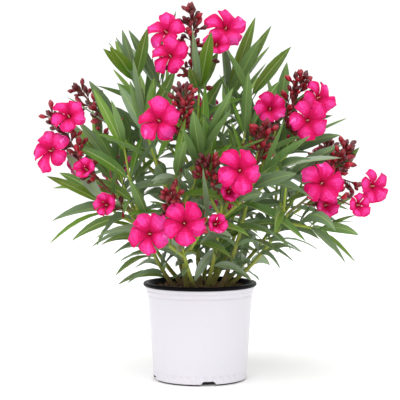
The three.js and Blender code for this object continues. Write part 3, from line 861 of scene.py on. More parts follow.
def raise_rings(profile):
    """Extrudes the selected ring through a profile of (radius, height), which starts at the ring itself."""
    for (radius, height), (next_radius, next_height) in zip(profile, profile[1:]):
        bpy.ops.mesh.extrude_region_move(TRANSFORM_OT_translate={"value": (0, 0, next_height - height)})
        ratio = next_radius / radius
        bpy.ops.transform.resize(value=(ratio, ratio, 1), center_override=(0, 0, next_height))


def close_open_rings():
    """Fills each ring of edges that has faces on one side only, then turns the faces out."""
    bpy.ops.mesh.select_all(action="DESELECT")
    bpy.ops.mesh.select_non_manifold(extend=False, use_wire=False, use_multi_face=False,
                                     use_non_contiguous=False, use_verts=False)
    bpy.ops.mesh.edge_face_add()
    bpy.ops.mesh.select_all(action="SELECT")
    bpy.ops.mesh.normals_make_consistent(inside=False)


def rounded(corner, size, start, end):
    """Three points that round a profile's corner between the directions of its neighbours."""
    first = blend(corner, start, size / math.dist(corner, start))
    last = blend(corner, end, size / math.dist(corner, end))
    return [first, blend(blend(first, last, 0.5), corner, 0.5), last]


def round_profile(profile, size):
    """A profile with each inner corner rounded."""
    points = [profile[0]]
    for start, corner, end in zip(profile, profile[1:], profile[2:]):
        points += rounded(corner, size, start, end)
    return points + [profile[-1]]


BASE_RADIUS = 81.5 * MM
SHELL_TOP_RADIUS = 93.2 * MM
WALL_THICKNESS = 2.2 * MM
LIP_ROLL = 3.35 * MM
LIP_SEAT = POT_HEIGHT - 2 * LIP_ROLL
# Points of the raised base and the foot's underside: how far in from the base radius, and how high, in mm.
FOOT = ((13, 1.8), (11.4, 3), (11, 8), (6.8, 8), (6.4, 0), (5, 0), (4.4, 2.6), (1.6, 2.2), (0.4, 3))
# The two steps of the collar: how far below the pot's top they lie in mm, how far each stands out, and the
# groove under it.
COLLAR = SimpleNamespace(drops=(21.6, 13), step=1.7 * MM, groove=1.1 * MM)
# Heights of the rings that divide the plain wall above the flutes.
PLAIN_RINGS = (60 * MM, 105 * MM, 144 * MM)
# Height at which the flutes begin, and the faces round each of them.
FLUTE_LOW = 5.2 * MM
FLUTE_STEPS = 6
# The drain notches: the first one's bearing, half their width at the bottom and at the top, their height, and
# the distance from the axis and half the depth of the blocks that cut them.
NOTCH = SimpleNamespace(
    count=4, bearing=280.5, half=16.5 * MM, top_half=9.5 * MM, height=8.2 * MM, reach=86 * MM, depth=15 * MM,
)


def wall_radius(z):
    """Radius of the wall's outside at a height."""
    return mix(BASE_RADIUS, SHELL_TOP_RADIUS, z / LIP_SEAT)


def wall_profile(settings):
    """The wall as (radius, height), from under its base, up the outside and down the inside."""
    profile = [(BASE_RADIUS - inset * MM, height * MM) for inset, height in FOOT]
    profile.append((wall_radius(4 * MM), 4 * MM))
    for number, drop in enumerate(COLLAR.drops):
        height = POT_HEIGHT - drop * MM
        radius = wall_radius(height) + number * COLLAR.step
        profile += [
            (radius, height - 3 * MM), (radius - COLLAR.groove, height),
            (radius + COLLAR.step, height + 0.7 * COLLAR.step),
        ]
    profile += [
        (wall_radius(WALL_TOP) + 2 * COLLAR.step, WALL_TOP),
        (wall_radius(WALL_TOP) - WALL_THICKNESS, WALL_TOP),
        (wall_radius(14 * MM) - WALL_THICKNESS, 14 * MM),
        (wall_radius(11 * MM) - 5 * MM, 11 * MM),
    ]
    profile = round_profile(profile, 0.45 * MM)
    split = next(i for i, (_, height) in enumerate(profile) if height > 20 * MM)
    heights = (FLUTE_LOW, settings.flute_height, settings.flute_height + 1.5 * MM, *PLAIN_RINGS)
    profile[split:split] = [(wall_radius(height), height) for height in heights]
    return profile


def build_pot_wall(settings):
    """The wall with its collar, pressed flutes and drain notches, and the dark base inside its foot: partly
    the pot's black inner plastic, partly painted shade under the pot.
    """
    profile = wall_profile(settings)
    piece = start_ring("pot_wall", *profile[0], segments=settings.flutes * FLUTE_STEPS)
    raise_rings(profile)
    close_open_rings()
    press_flutes(piece, settings)
    bpy.ops.object.mode_set(mode="OBJECT")
    cut_notches(piece)
    smooth(piece, 28)
    wall = surface("White pot plastic", settings.wall, 0.36, Coat_Weight=0.12, Subsurface_Weight=0.05)
    piece.data.materials.clear()
    piece.data.materials.append(add_bump(wall, 55, 0.12 * MM))
    piece.data.materials.append(surface("Shaded pot base", settings.base, 0.7))
    # The crevice under the foot and the raised base get the dark material: partly the black inner plastic,
    # partly painted shade where light does not reach.
    for face in piece.data.polygons:
        height, inset = face.center.z, BASE_RADIUS - from_axis(face.center)
        underside = height < 2.9 * MM and inset > 1 * MM
        base = height < 10 * MM and inset > 5.8 * MM
        if underside or base:
            face.material_index = 1
    settle(piece, "pot_white", "pot")


def press_flutes(piece, settings):
    """Presses a shallow pocket into the wall for each flute, and draws its upper corners in."""
    pitch = 2 * math.pi / settings.flutes
    # The first of the faces round each flute stays plain, as the bar between it and the last flute.
    bar = 1 / FLUTE_STEPS
    bpy.ops.mesh.select_mode(type="FACE")
    bpy.ops.mesh.select_all(action="DESELECT")
    mesh = bmesh.from_edit_mesh(piece.data)
    for face in mesh.faces:
        middle = face.calc_center_median()
        on_wall = FLUTE_LOW < middle.z < settings.flute_height and from_axis(middle) > BASE_RADIUS - 1 * MM
        face.select = on_wall and math.atan2(middle.y, middle.x) / pitch % 1 > bar
    bmesh.update_edit_mesh(piece.data)
    bpy.ops.mesh.inset(thickness=1.9 * MM, depth=-settings.flute_depth, use_even_offset=True)
    mesh = bmesh.from_edit_mesh(piece.data)
    for vertex in mesh.verts:
        if vertex.select and vertex.co.z > settings.flute_height - 3 * MM:
            angle = math.atan2(vertex.co.y, vertex.co.x)
            middle = (math.floor(angle / pitch) + (1 + bar) / 2) * pitch
            vertex.co.rotate(Quaternion(UP, 0.7 * (middle - angle)))
    bmesh.update_edit_mesh(piece.data)


def notch_cutter(bearing):
    """A block across the foot of the wall, narrower at its top and rounded there."""
    bpy.ops.object.select_all(action="DESELECT")
    bpy.ops.mesh.primitive_cube_add(size=2, location=(0, 0, 0))
    cutter = bpy.context.object
    bpy.ops.object.mode_set(mode="EDIT")
    below = 0.5 * MM
    size = (NOTCH.half, NOTCH.depth, NOTCH.height / 2 + below)
    bpy.ops.transform.resize(value=size, center_override=(0, 0, 0))
    bpy.ops.transform.translate(value=(0, NOTCH.reach, NOTCH.height / 2 - below))
    select_vertices(cutter, lambda place: place.z > NOTCH.height / 2)
    narrowing = NOTCH.top_half / NOTCH.half
    bpy.ops.transform.resize(value=(narrowing, 1, 1), center_override=(0, 0, NOTCH.height))
    bpy.ops.mesh.bevel(offset=2.5 * MM, segments=3)
    bpy.ops.mesh.select_all(action="SELECT")
    bpy.ops.transform.rotate(value=-math.radians(bearing - 90), orient_axis="Z", center_override=(0, 0, 0))
    bpy.ops.object.mode_set(mode="OBJECT")
    return cutter


def cut_notches(piece):
    """Cuts the drain notches through the foot of the wall."""
    for i in range(NOTCH.count):
        cutter = notch_cutter(NOTCH.bearing + 360 / NOTCH.count * i)
        pick(piece)
        cut = piece.modifiers.new("Notch", "BOOLEAN")
        cut.operation = "DIFFERENCE"
        cut.solver = "MANIFOLD"
        cut.object = cutter
        bpy.ops.object.modifier_apply(modifier=cut.name)
        bpy.data.objects.remove(cutter)


def build_pot_rim(settings):
    """The rolled lip on the wall's top, with the lining that hangs from it."""
    gap, lining, bulge, foot = 2.5 * MM, 1.2 * MM, 2.6 * MM, RIM_LOW.z
    low, high = wall_radius(foot) - gap, wall_radius(LIP_SEAT) - gap
    roll = [
        (LIP_RADIUS - bulge * (1 - math.sin(angle)), LIP_SEAT + LIP_ROLL * (1 - math.cos(angle)))
        for angle in map(math.radians, range(0, 181, 20))
    ]
    profile = [
        (low, foot), (high, LIP_SEAT), *roll,
        (high + 2.4 * MM, POT_HEIGHT), (high + 1.2 * MM, POT_HEIGHT - 0.7 * MM),
        (high - 0.7 * MM, LIP_SEAT + 1 * MM), (high - lining, LIP_SEAT), (low - lining, foot), (low, foot),
    ]
    piece = start_ring("pot_rim_roll", *profile[0], segments=144)
    raise_rings(profile)
    bpy.ops.mesh.select_all(action="SELECT")
    bpy.ops.mesh.remove_doubles(threshold=0.02 * MM)
    bpy.ops.mesh.normals_make_consistent(inside=False)
    smooth(piece, 40)
    piece.data.materials.append(surface("Black rim plastic", settings.rim, 0.42, Specular_IOR_Level=0.06))
    settle(piece, "rim_black", "pot_rim")


MIX_RADIUS = 88 * MM
# Tones of the bark chips, as shares of the way from the mix's colour to that of the driest chips.
CHIP_TONES = (0.04, 0.2, 0.42, 0.85)


def mix_height(reach):
    """Height of the potting mix at a distance from the pot's axis."""
    return mix(MIX_TOP, MIX_TOP - 2 * MM, passed(reach, 50, 88) ** 1.5) + 0.6 * MM


def build_potting_mix(settings):
    """The body of the mix, from the pot's base up to its uneven top."""
    reaches = [MIX_RADIUS * (1 - i / 14) for i in range(14)]
    profile = [
        (74 * MM, 11.6 * MM), (wall_radius(15 * MM) - 2.9 * MM, 15 * MM),
        (MIX_RADIUS + 0.4 * MM, 150 * MM), *((reach, mix_height(reach)) for reach in reaches),
    ]
    piece = start_ring("moist_mix", *profile[0], segments=96)
    raise_rings(profile)
    close_open_rings()
    select_vertices(piece, lambda place: place.z > 155 * MM and from_axis(place) < MIX_RADIUS - 1 * MM)
    bpy.ops.transform.vertex_random(offset=1.3 * MM, seed=7)
    pick(piece)
    bpy.ops.object.shade_smooth()
    piece.data.materials.append(add_bump(surface("Moist mix", settings.soil, 0.95), 420, 3 * MM))
    settle(piece, "potting_mix", "potting_mix")


def build_bark_chips(settings):
    """Flat, broken chips of bark, scattered over the mix."""
    heap = Heap()
    for i in range(settings.chips):
        keys = (DRAWS.chips, i)
        reach = (MIX_RADIUS - 1 * MM) * math.sqrt(chance(*keys, 1))
        size = mix(1.6, 5.2, chance(*keys, 3) ** 2) * MM
        middle = polar(360 * chance(*keys, 2), reach / MM, 0)
        middle += UP * (mix_height(reach) + 0.6 * MM * chance(*keys, 4))
        way = heading(360 * chance(*keys, 5), vary(28, *keys, 6))
        start, end = middle - way * size, middle + way * size
        rings = []
        for j, share in enumerate((0.25, 0.8)):
            reaches = [size * mix(0.35, 0.75, chance(i, j, k, 7)) for k in range(5)]
            rings.append(ring_of(start.lerp(end, share), way, reaches, flat=0.45))
        heap.sleeve(start, rings, end, int(len(CHIP_TONES) * chance(*keys, 8)))
    tones = toned("Bark chip", settings.soil, settings.chip_light, CHIP_TONES, 0.9)
    piece = heap.piece("bark_chips", tones, sharp=30)
    settle(piece, "potting_mix", "potting_mix")


# ---- stems, shoots and leaves ----

# Tones of the bare stems and of the twigs, as shares of the way from old bark to green wood.
BARK_TONES = (0, 0.25, 0.5, 0.7)
WOOD_TONES = (0.35, 0.55, 0.75, 0.95)


def build_stems(plans, settings):
    """The bare feet of the stems, with ridged bark, leaf scars and a flare at the root."""
    heap = Heap()
    sides, shares = 14, evenly(0, LIMB.bare_share, 26)
    for plan in plans:
        green = 2.4 * chance(plan.index, 4) - 1.1

        def radius_at(t, angle):
            ridges = 0.05 * math.sin(3 * angle + 9 * t + plan.index) + 0.03 * math.sin(7 * angle - 31 * t)
            grain = 0.05 * (chance(plan.index, round(90 * t), round(4 * angle), 3) - 0.5)
            return trunk_radius(t) * (0.97 + ridges + knots(t, 26, 0.13, 0.12) + grain)

        def tone_at(t, k):
            patch = 0.8 * chance(plan.index, round(60 * t), k, 4)
            return int(clamp(green + 2.2 * t / LIMB.bare_share + patch, 0, len(BARK_TONES) - 1))
        tones = [[tone_at(t, k) for k in range(sides)] for t in (0, *shares)]
        add_tube(heap, plan.trunk, shares, radius_at, sides, tones)
    tones = toned("Bark", settings.bark, settings.green_wood, BARK_TONES, 0.8)
    for tone in tones:
        add_bump(tone, 300, 1.2 * MM, (1, 1, 0.3))
    piece = heap.piece("bare_stems", tones, sharp=60)
    settle(piece, "bark", *nodes_named("stem"))


def build_green_twigs(plans, settings):
    """The stems above their bare feet, and the leafy shoots, swollen a little at each whorl."""
    heap = Heap()
    sides = 8
    for plan in plans:
        gap = LIMB.gap / plan.trunk.length()
        limbs = [(plan.trunk, LIMB.bare_share + gap, 24, trunk_radius)]
        limbs += [(twig, 0, 14, lambda t: 1.35 * mix(SHOOT.radius, SHOOT.tip, t)) for twig in plan.twigs]
        limbs += [(sprig, 0, 4, lambda t: mix(SHOOT.tip, 0.8 * MM, t)) for sprig in plan.sprigs]
        for number, (curve, start, steps, taper) in enumerate(limbs):
            def radius_at(t, angle):
                return taper(t) * (0.95 + knots(t, 9, 0.12, 0.13) + 0.04 * math.sin(3 * angle + 5 * t))
            shares = evenly(start, 1, steps)
            oldest = 2.4 if number else 1.2
            tones = [[min(len(WOOD_TONES) - 1, int(oldest + 1.6 * t))] * sides for t in (start, *shares)]
            add_tube(heap, curve, shares, radius_at, sides, tones)
    tones = toned("Green wood", settings.bark, settings.green_wood, WOOD_TONES, 0.6)
    piece = heap.piece("green_twigs", tones, sharp=60)
    settle(piece, "leaf", *nodes_named("leafy"))


# Where the rings of a leaf stand along it, the midrib's share of its width, and its bare stalk's share of its
# length.
LEAF_SHARES = np.array([0, 0.05, 0.12, 0.23, 0.38, 0.54, 0.7, 0.84, 0.94])
RIB_SHARE = 0.085
LEAF_STALK_SHARE = 0.04


def leaf_rings(leaf, settings):
    """Rings of six points round a blade: its edges, its midrib's sides above and its keel's sides below."""
    t = LEAF_SHARES[:, None]
    start, bend, end, aside = rows_of((leaf.curve.start, leaf.curve.bend, leaf.curve.end, leaf.across))
    centre = start * (1 - t) ** 2 + bend * 2 * t * (1 - t) + end * t ** 2
    along = (bend - start) * (1 - t) + (end - bend) * t
    along /= np.linalg.norm(along, axis=1)[:, None]
    across = aside - along * (along @ aside)[:, None]
    across /= np.linalg.norm(across, axis=1)[:, None]
    face = np.cross(along, across)
    twist = vary(settings.leaf_twist, *leaf.keys, 7) * (t - 0.4)
    cosine, sine = np.cos(twist), np.sin(twist)
    across, face = across * cosine + face * sine, face * cosine - across * sine
    wide = np.clip((t - LEAF_STALK_SHARE) / (1 - LEAF_STALK_SHARE), 0, 1)
    slimness = settings.leaf_width * (1 + vary(0.16, *leaf.keys, 12))
    width = leaf.half * slimness * np.maximum(0.1 * (1 - t), 1 - np.abs(2 * wide ** 0.88 - 1) ** 2.2)
    fold = width * settings.leaf_fold * (1 + vary(0.7, *leaf.keys, 8))
    wave = 0.4 * MM * np.sin(9 * t + 6.3 * chance(*leaf.keys, 9)) * np.sin(math.pi * t)
    rib = width * RIB_SHARE + 0.25 * MM
    thick = settings.leaf_thickness * (1.3 - 0.6 * t)
    edge_height, groove, keel = 0.35 * fold, 0.65 * fold, 0.65 * fold + thick + 0.25 * MM
    return np.stack([
        centre + across * width + face * (edge_height + wave),
        centre + across * rib - face * groove,
        centre - across * rib - face * groove,
        centre - across * width + face * (edge_height - wave),
        centre - across * (0.8 * rib) - face * keel,
        centre + across * (0.8 * rib) - face * keel,
    ], axis=1)


LEAF_TONES = 7
# Tones of the dull leaves, as shares of the way from their grey-green to mature. The grey-green is partly a
# waxy bloom and partly painted sheen, standing for white light reflected off glossy leaves.
DULL_SHARES = (0, 0.3, 0.6)
DULL_TONES = len(DULL_SHARES)


def leaf_tones(leaf):
    """The tones of a leaf's two halves: 0 the youngest, LEAF_TONES - 1 the oldest, then the dull ones of
    painted sheen and waxy bloom.
    """
    low = 1 - passed(leaf.curve.start.z, 130, 330)
    # Leaves dealt out at random take the grey-green of painted sheen and waxy bloom.
    if chance(*leaf.keys, 14) > 0.55 + 0.35 * leaf.youth - 0.2 * low and not leaf.leads:
        tone = LEAF_TONES + int(DULL_TONES * chance(*leaf.keys, 15))
        return tone, tone
    age = (1 - leaf.youth) * 0.7 + 0.35 * chance(*leaf.keys, 10) + vary(0.12, *leaf.keys, 11) + 0.3 * low
    tone = int(clamp(age, 0, 0.999) * LEAF_TONES)
    # The second half is often one or two tones darker: painted shade for the far side of the leaf's fold.
    return tone, min(LEAF_TONES - 1, tone + int(2.4 * chance(*leaf.keys, 16)))


def build_leaves(kind, plans, settings, materials):
    """One kind of leaves of all the stems, as one piece."""
    heap = Heap()
    rib, under, young_under, leaf_stalk = range(LEAF_TONES + DULL_TONES, LEAF_TONES + DULL_TONES + 4)
    for plan in plans:
        for leaf in getattr(plan, kind):
            first, second = leaf_tones(leaf)
            back = young_under if first < 2 else under
            # The second half of the upper side may be darker, as painted shade on the far side of the fold.
            slots = np.tile([first, rib, second, back, rib, back], (len(LEAF_SHARES) + 1, 1))
            slots[:2] = leaf_stalk
            heap.sleeve(leaf.curve.start, leaf_rings(leaf, settings), leaf.curve.end, slots)
    piece = heap.piece(kind, materials, sharp=55)
    settle(piece, "leaf", *nodes_named("leafy"))


def leaf_materials(settings):
    """The leaves' materials in the order of their slots, from the fresh tones to the leaf stalk."""
    fresh = dict(Coat_Weight=0.1, Coat_Roughness=0.32, Subsurface_Weight=0.08, Specular_IOR_Level=0.3)
    waxy = dict(Coat_Weight=0.5, Coat_Roughness=0.36, Subsurface_Weight=0.08)
    return [
        *graded("Leaf", settings.young, settings.mature, settings.shaded, LEAF_TONES, 0.42, **fresh),
        *toned("Dull leaf", settings.grey_bloom_and_sheen, settings.mature, DULL_SHARES, 0.45, **waxy),
        surface("Leaf midrib", settings.midrib, 0.5),
        surface("Leaf underside", settings.under, 0.6),
        surface("Young leaf underside", blend(settings.under, settings.young, 0.5), 0.6),
        surface("Leaf stalk", settings.green_wood, 0.5),
    ]


# ---- flower heads ----

def build_stalks(plans, settings):
    """The flower stalks, with the thin stalk of each bloom and the small bracts between them."""
    heap = Heap()
    for plan in plans:
        add_tube(heap, plan.stalk, evenly(0, 1, 14),
                 lambda t, angle: mix(2.4, 1.5, t) * MM * (1 + knots(t, 6, 0.16, 0.1)),
                 8, [[0 if t < 0.3 else 1] * 8 for t in evenly(0, 1, 15)])
        for bloom in plan.open_blooms:
            heel = bloom.centre - bloom.face * (BLOOM.tube + 1 * MM)
            bend = bloom.root.lerp(heel, 0.5) - bloom.face * (3 * MM)
            add_tube(heap, Curve(bloom.root, bend, heel), evenly(0, 1, 6),
                     lambda t, angle: mix(1.0, 1.3, t) * MM, 6, 1)
        for i, t in enumerate(evenly(0.25, 0.98, 8)):
            root, axis = plan.stalk.point(t), plan.stalk.tangent(t)
            way = (axis + spoke(axis, BUD.turn * i + 40) * 0.7).normalized()
            tip = root + way * ((9 + vary(3, plan.index, DRAWS.bracts, i)) * MM)
            add_tube(heap, straight(root, tip), (0, 0.3, 0.75, 0.95),
                     lambda t, angle: 1.1 * MM * math.sin(math.pi * (0.12 + 0.86 * t)), 5, 2)
    green = (0.2, 0.3, 0.08)
    materials = [
        surface("Green flower stalk", blend(settings.stalk, green, 0.6), 0.55),
        surface("Red flower stalk", settings.stalk, 0.5),
        surface("Bract", blend(settings.stalk, settings.bud_bright, 0.3), 0.6),
    ]
    piece = heap.piece("flower_stalks", materials, sharp=60)
    settle(piece, "bloom", *nodes_named("blossom"))


# A bud's shape: shares of its length, and of its radius there.
BUD_PROFILE = ((0, 0.5), (0.1, 0.62), (0.28, 0.84), (0.5, 1), (0.68, 0.86), (0.84, 0.52), (0.94, 0.24))
BUD_SIDES = 6
# Tones of the buds, as shares of the way from small to ripe, and the slots that follow them.
BUD_TONES = (0.05, 0.4, 0.75, 1)
BUD_CALYX, BUD_STALK = range(len(BUD_TONES), len(BUD_TONES) + 2)


def add_bud(heap, root, way, length, body, radius, tone, turn):
    """A bud on its own thin stalk: a twisted spindle held by a small dark calyx."""
    stalk = length - body
    places = [(0, 0.75 * MM), (0.5 * stalk, 0.7 * MM)]
    places += [(stalk + body * share, radius * wide) for share, wide in BUD_PROFILE]
    rings = []
    for j, (along, reach) in enumerate(places):
        ridge = 1.1 if j > 3 else 0.97
        reaches = [0.97 * reach, ridge * reach] * (BUD_SIDES // 2)
        rings.append(ring_of(root + way * along, way, reaches, turn + 16 * j))
    slots = np.full((len(rings) + 1, BUD_SIDES), tone)
    slots[:2] = BUD_STALK
    slots[2] = BUD_CALYX
    slots[3, ::2] = BUD_CALYX
    heap.sleeve(root, rings, root + way * length, slots)


def add_large_bud(heap, bud):
    """A bud of the construction model, riper and fuller the lower it stands."""
    body, radius = BUD.length * mix(1.02, 0.78, bud.share), BUD.radius * mix(1.1, 0.86, bud.share)
    ripe = clamp(1 - bud.share + vary(0.3, *bud.keys, 12), 0, 0.999)
    tone = int(len(BUD_TONES) * ripe)
    add_bud(heap, bud.root, bud.way, bud.length, body, radius, tone, 360 * chance(*bud.keys, 13))


def add_forked_bud(heap, bud, number):
    """A small bud that forks off the stalk of a large one."""
    keys = (*bud.keys[:2], bud.keys[2] + 40 * (number + 1))
    root = bud.root + bud.way * (bud.length * mix(0.12, 0.4, chance(*keys, 1)))
    side = spoke(bud.way, 120 * number + 100 * chance(*keys, 2))
    way = (bud.way + side * mix(0.8, 1.5, chance(*keys, 3)) + bud.axis * 0.2).normalized()
    length, tone = mix(19, 31, chance(*keys, 4)) * MM, int(3.4 * chance(*keys, 5))
    add_bud(heap, root, way, length, 0.52 * length, 0.155 * length, tone, 360 * chance(*keys, 6))


def add_side_bud(heap, bloom, keys):
    """A small bud on the stalk of a bloom."""
    heel = bloom.centre - bloom.face * BLOOM.tube
    axis = (heel - bloom.root).normalized()
    root = bloom.root.lerp(heel, mix(0.3, 0.92, chance(*keys, 1)))
    way = (axis * 0.7 + spoke(axis, BUD.turn * keys[2] + 360 * chance(*keys, 2))).normalized()
    length, tone = mix(17, 31, chance(*keys, 3)) * MM, int(3.6 * chance(*keys, 4))
    add_bud(heap, root, way, length, 0.56 * length, 0.165 * length, tone, 360 * chance(*keys, 5))


def build_buds(plans, settings):
    """The buds: large ones where the model has them, and small ones beside them and below the blooms."""
    heap = Heap()
    for plan in plans:
        for bud in plan.closed_buds:
            add_large_bud(heap, bud)
            for i in range(settings.small_buds):
                add_forked_bud(heap, bud, i)
        for j, bloom in enumerate(plan.open_blooms):
            for i in range(settings.side_buds):
                add_side_bud(heap, bloom, (plan.index, DRAWS.side_buds + j, i))
    materials = toned("Bud", settings.bud_dark, settings.bud_bright, BUD_TONES, 0.38, Coat_Weight=0.15)
    materials.append(surface("Calyx", blend(settings.bud_dark, settings.stalk, 0.6), 0.6))
    materials.append(surface("Bud stalk", settings.stalk, 0.6))
    piece = heap.piece("flower_buds", materials, sharp=65)
    settle(piece, "bloom", *nodes_named("blossom"))


# Places of a petal's points: shares of its half width above and below, and shares of its length.
PETAL_UP = (-1, -0.72, -0.38, 0, 0.38, 0.72, 1)
PETAL_DOWN = (0.72, 0.38, 0, -0.38, -0.72)
PETAL_SHARES = (0.0, 0.07, 0.16, 0.28, 0.4, 0.52, 0.64, 0.75, 0.85, 0.93, 0.98)
PETAL_COLUMNS = len(PETAL_UP) + len(PETAL_DOWN)
PETAL_THICKNESS = 0.35 * MM
# Slots of the open blooms: the petals' tones first, then what follows them.
PETAL_TONES = 12
STREAK, ANTHERS, CALYX = range(PETAL_TONES, PETAL_TONES + 3)
FUNNEL_SIDES = 10


def petal_tones(keys):
    """The tone of each face of a petal: dark in the throat, brightest along its middle and darker at its
    sides as painted shade between overlapping petals, rarely streaked.
    """
    slots = np.zeros((len(PETAL_SHARES) + 1, PETAL_COLUMNS), int)
    pale = vary(1.1, *keys, 5)
    for band, share in enumerate((0, *PETAL_SHARES)):
        for column in range(PETAL_COLUMNS):
            # Faces nearer a petal's sides get lower tones: painted shade where the petals overlap.
            middle = 1 - abs(min(column, PETAL_COLUMNS - 1 - column) - 2.5) / 2.5
            level = 1.2 + 4.6 * min(1, share / 0.34) + pale * share
            level += 4.6 * middle * math.sin(2.6 * share ** 1.2)
            level += vary(1.1, *keys, 60 + column) + vary(0.7, *keys[:2], 10 * band + column + keys[2], 7)
            streaked = column in (1, 3) and share > 0.6 and chance(*keys, 40 + column) > 0.94
            slots[band, column] = STREAK if streaked else int(clamp(level, 0, PETAL_TONES - 1))
    return slots


def add_petal(heap, bloom, settings, keys):
    """One petal, as a thin closed sheet from the throat to its blunt tip."""
    out = petal_way(bloom, keys[2])
    aside = bloom.face.cross(out)
    inner = 4.5 * MM
    unfurled = clamp((bloom.age - 0.4) / 0.45)
    reach = bloom.reach * settings.petal_reach * mix(0.74, 1, unfurled) * (1 + vary(0.06, *keys, 1))
    cup = mix(-0.16, 0.26, chance(*keys, 2)) * bloom.age
    tilt = 0.16 + vary(0.12, *keys, 3)
    skew = 0.16 * reach
    rings = []
    for s in PETAL_SHARES:
        half = reach * (0.1 + settings.petal_width * min(1, s / 0.66) ** 0.9) * (1 - s ** 5) ** 0.44
        half *= mix(1.25, 1, unfurled)
        height = mix(bloom.throat, bloom.forward, s ** 0.75)
        height += reach * 0.1 * math.sin(math.pi * s) - reach * cup * s ** 3
        centre = bloom.centre + out * mix(inner, reach, s) + aside * (skew * s * s) + bloom.face * height

        def at(u, below):
            """The point a share u of the half width from the middle, and some way below the upper side."""
            ruffle = settings.ruffle * s * s * math.sin(2.2 * math.pi * u + 6.3 * chance(*keys, 4))
            ruffle += 1.6 * settings.ruffle * u * u * s * math.sin(10 * s + 6.3 * chance(*keys, 8) + 1.5 * u)
            curl = half * u * u * mix(0.3, -0.34, s) * mix(0.5, 1.3, chance(*keys, 6))
            scallop = 0.18 * reach * chance(*keys, round(5 * u)) * s ** 5
            notch = 0.05 * reach * u * s ** 3 + scallop
            lift = tilt * half * u + ruffle + curl - below
            return centre + aside * (half * u) - out * notch + bloom.face * lift
        rings.append(rows_of([at(-u, 0) for u in PETAL_UP] + [at(-u, PETAL_THICKNESS) for u in PETAL_DOWN]))
    start = bloom.centre + out * (0.8 * inner) + bloom.face * (bloom.throat - 0.5 * MM)
    tip = bloom.centre + out * reach + aside * skew + bloom.face * (bloom.forward - reach * cup)
    heap.sleeve(start, rings, tip, petal_tones(keys))


def add_funnel(heap, bloom):
    """The tube of a bloom, which widens to the throat and turns back in."""
    throat = bloom.throat
    depths = (-BLOOM.tube, 4 * MM - BLOOM.tube, -11 * MM, throat - 3 * MM,
              throat + 0.4 * MM, throat, throat - 4 * MM, throat - 8 * MM)
    reaches = (1.6, 2.4, 2.9, 4.2, 6.4, 5.6, 3.2, 1.8)
    rings = [
        ring_of(bloom.centre + bloom.face * depth, bloom.face, [reach * MM] * FUNNEL_SIDES)
        for depth, reach in zip(depths, reaches)
    ]
    slots = np.full((len(rings) + 1, FUNNEL_SIDES), 3)
    slots[:2] = CALYX
    slots[5:] = 0
    heel = bloom.centre - bloom.face * (BLOOM.tube + 1.5 * MM)
    heap.sleeve(heel, rings, bloom.centre + bloom.face * (throat - 9 * MM), slots)


def add_throat(heap, bloom, keys):
    """The fringe round a bloom's throat, and the cone of anthers inside it."""
    for k in range(FUNNEL_SIDES):
        side = spoke(bloom.face, 360 / FUNNEL_SIDES * k + 9)
        base = bloom.centre + bloom.face * (bloom.throat - 0.5 * MM) + side * (4.6 * MM)
        way = (bloom.face + side * (0.35 + vary(0.3, *keys, k))).normalized()
        add_tube(heap, straight(base, base + way * (6 * MM)), (0, 0.5, 0.9),
                 lambda t, angle: 0.9 * MM * (1.15 - t), 5, 3 if k % 2 else 1)
    base = bloom.centre + bloom.face * (bloom.throat - 3 * MM)
    add_tube(heap, straight(base, base + bloom.face * (10 * MM)), (0, 0.3, 0.6, 0.85, 0.97),
             lambda t, angle: 1.7 * MM * (1.08 - t), 7, ANTHERS)


def build_blooms(plans, settings):
    """The open blooms: five petals round a funnel, with a fringed throat and a cone of anthers."""
    heap = Heap()
    for plan in plans:
        for i, bloom in enumerate(plan.open_blooms):
            for petal in range(BLOOM.petals):
                add_petal(heap, bloom, settings, (plan.index, DRAWS.petals + i, petal))
            add_funnel(heap, bloom)
            add_throat(heap, bloom, (plan.index, i))
    satin = dict(
        Specular_IOR_Level=0.12, Subsurface_Weight=0.05,
        Sheen_Weight=0.08, Sheen_Roughness=0.4, Sheen_Tint=(1, 0.5, 0.85, 1),
    )
    colours = (settings.throat, settings.petal, settings.petal_tip)
    materials = graded("Petal", *colours, PETAL_TONES, 0.6, **satin)
    materials += [
        surface("Petal streak", settings.streak, 0.5),
        surface("Anthers", settings.anther, 0.6),
        surface("Bloom calyx", blend(settings.stalk, settings.bud_dark, 0.5), 0.6),
    ]
    piece = heap.piece("open_blooms", materials, sharp=70)
    settle(piece, "bloom", *nodes_named("blossom"))


# ---- the stage ----

# The floor's width in metres, and the bearing and tilt from which the key light falls.
FLOOR_SIZE = 12
KEY_FROM = (254, 62)


def studio_surroundings(settings):
    """A white world that dims from just above the horizon upwards."""
    world = bpy.data.worlds.new("Studio")
    world.use_nodes = True
    tree = world.node_tree
    background = tree.nodes["Background"]
    background.inputs["Color"].default_value = (1, 1, 1, 1)
    place = tree.nodes.new("ShaderNodeTexCoord")
    split = tree.nodes.new("ShaderNodeSeparateXYZ")
    fade = tree.nodes.new("ShaderNodeMapRange")
    levels = {"From Min": 0.16, "From Max": 0.35, "To Min": settings.horizon, "To Max": settings.sky}
    for name, level in levels.items():
        fade.inputs[name].default_value = level
    tree.links.new(place.outputs["Generated"], split.inputs["Vector"])
    tree.links.new(split.outputs["Z"], fade.inputs["Value"])
    tree.links.new(fade.outputs["Result"], background.inputs["Strength"])
    return world


def link_new(name, data):
    """A new object in the scene that shows a light or a camera."""
    thing = bpy.data.objects.new(name, data)
    bpy.context.scene.collection.objects.link(thing)
    return thing


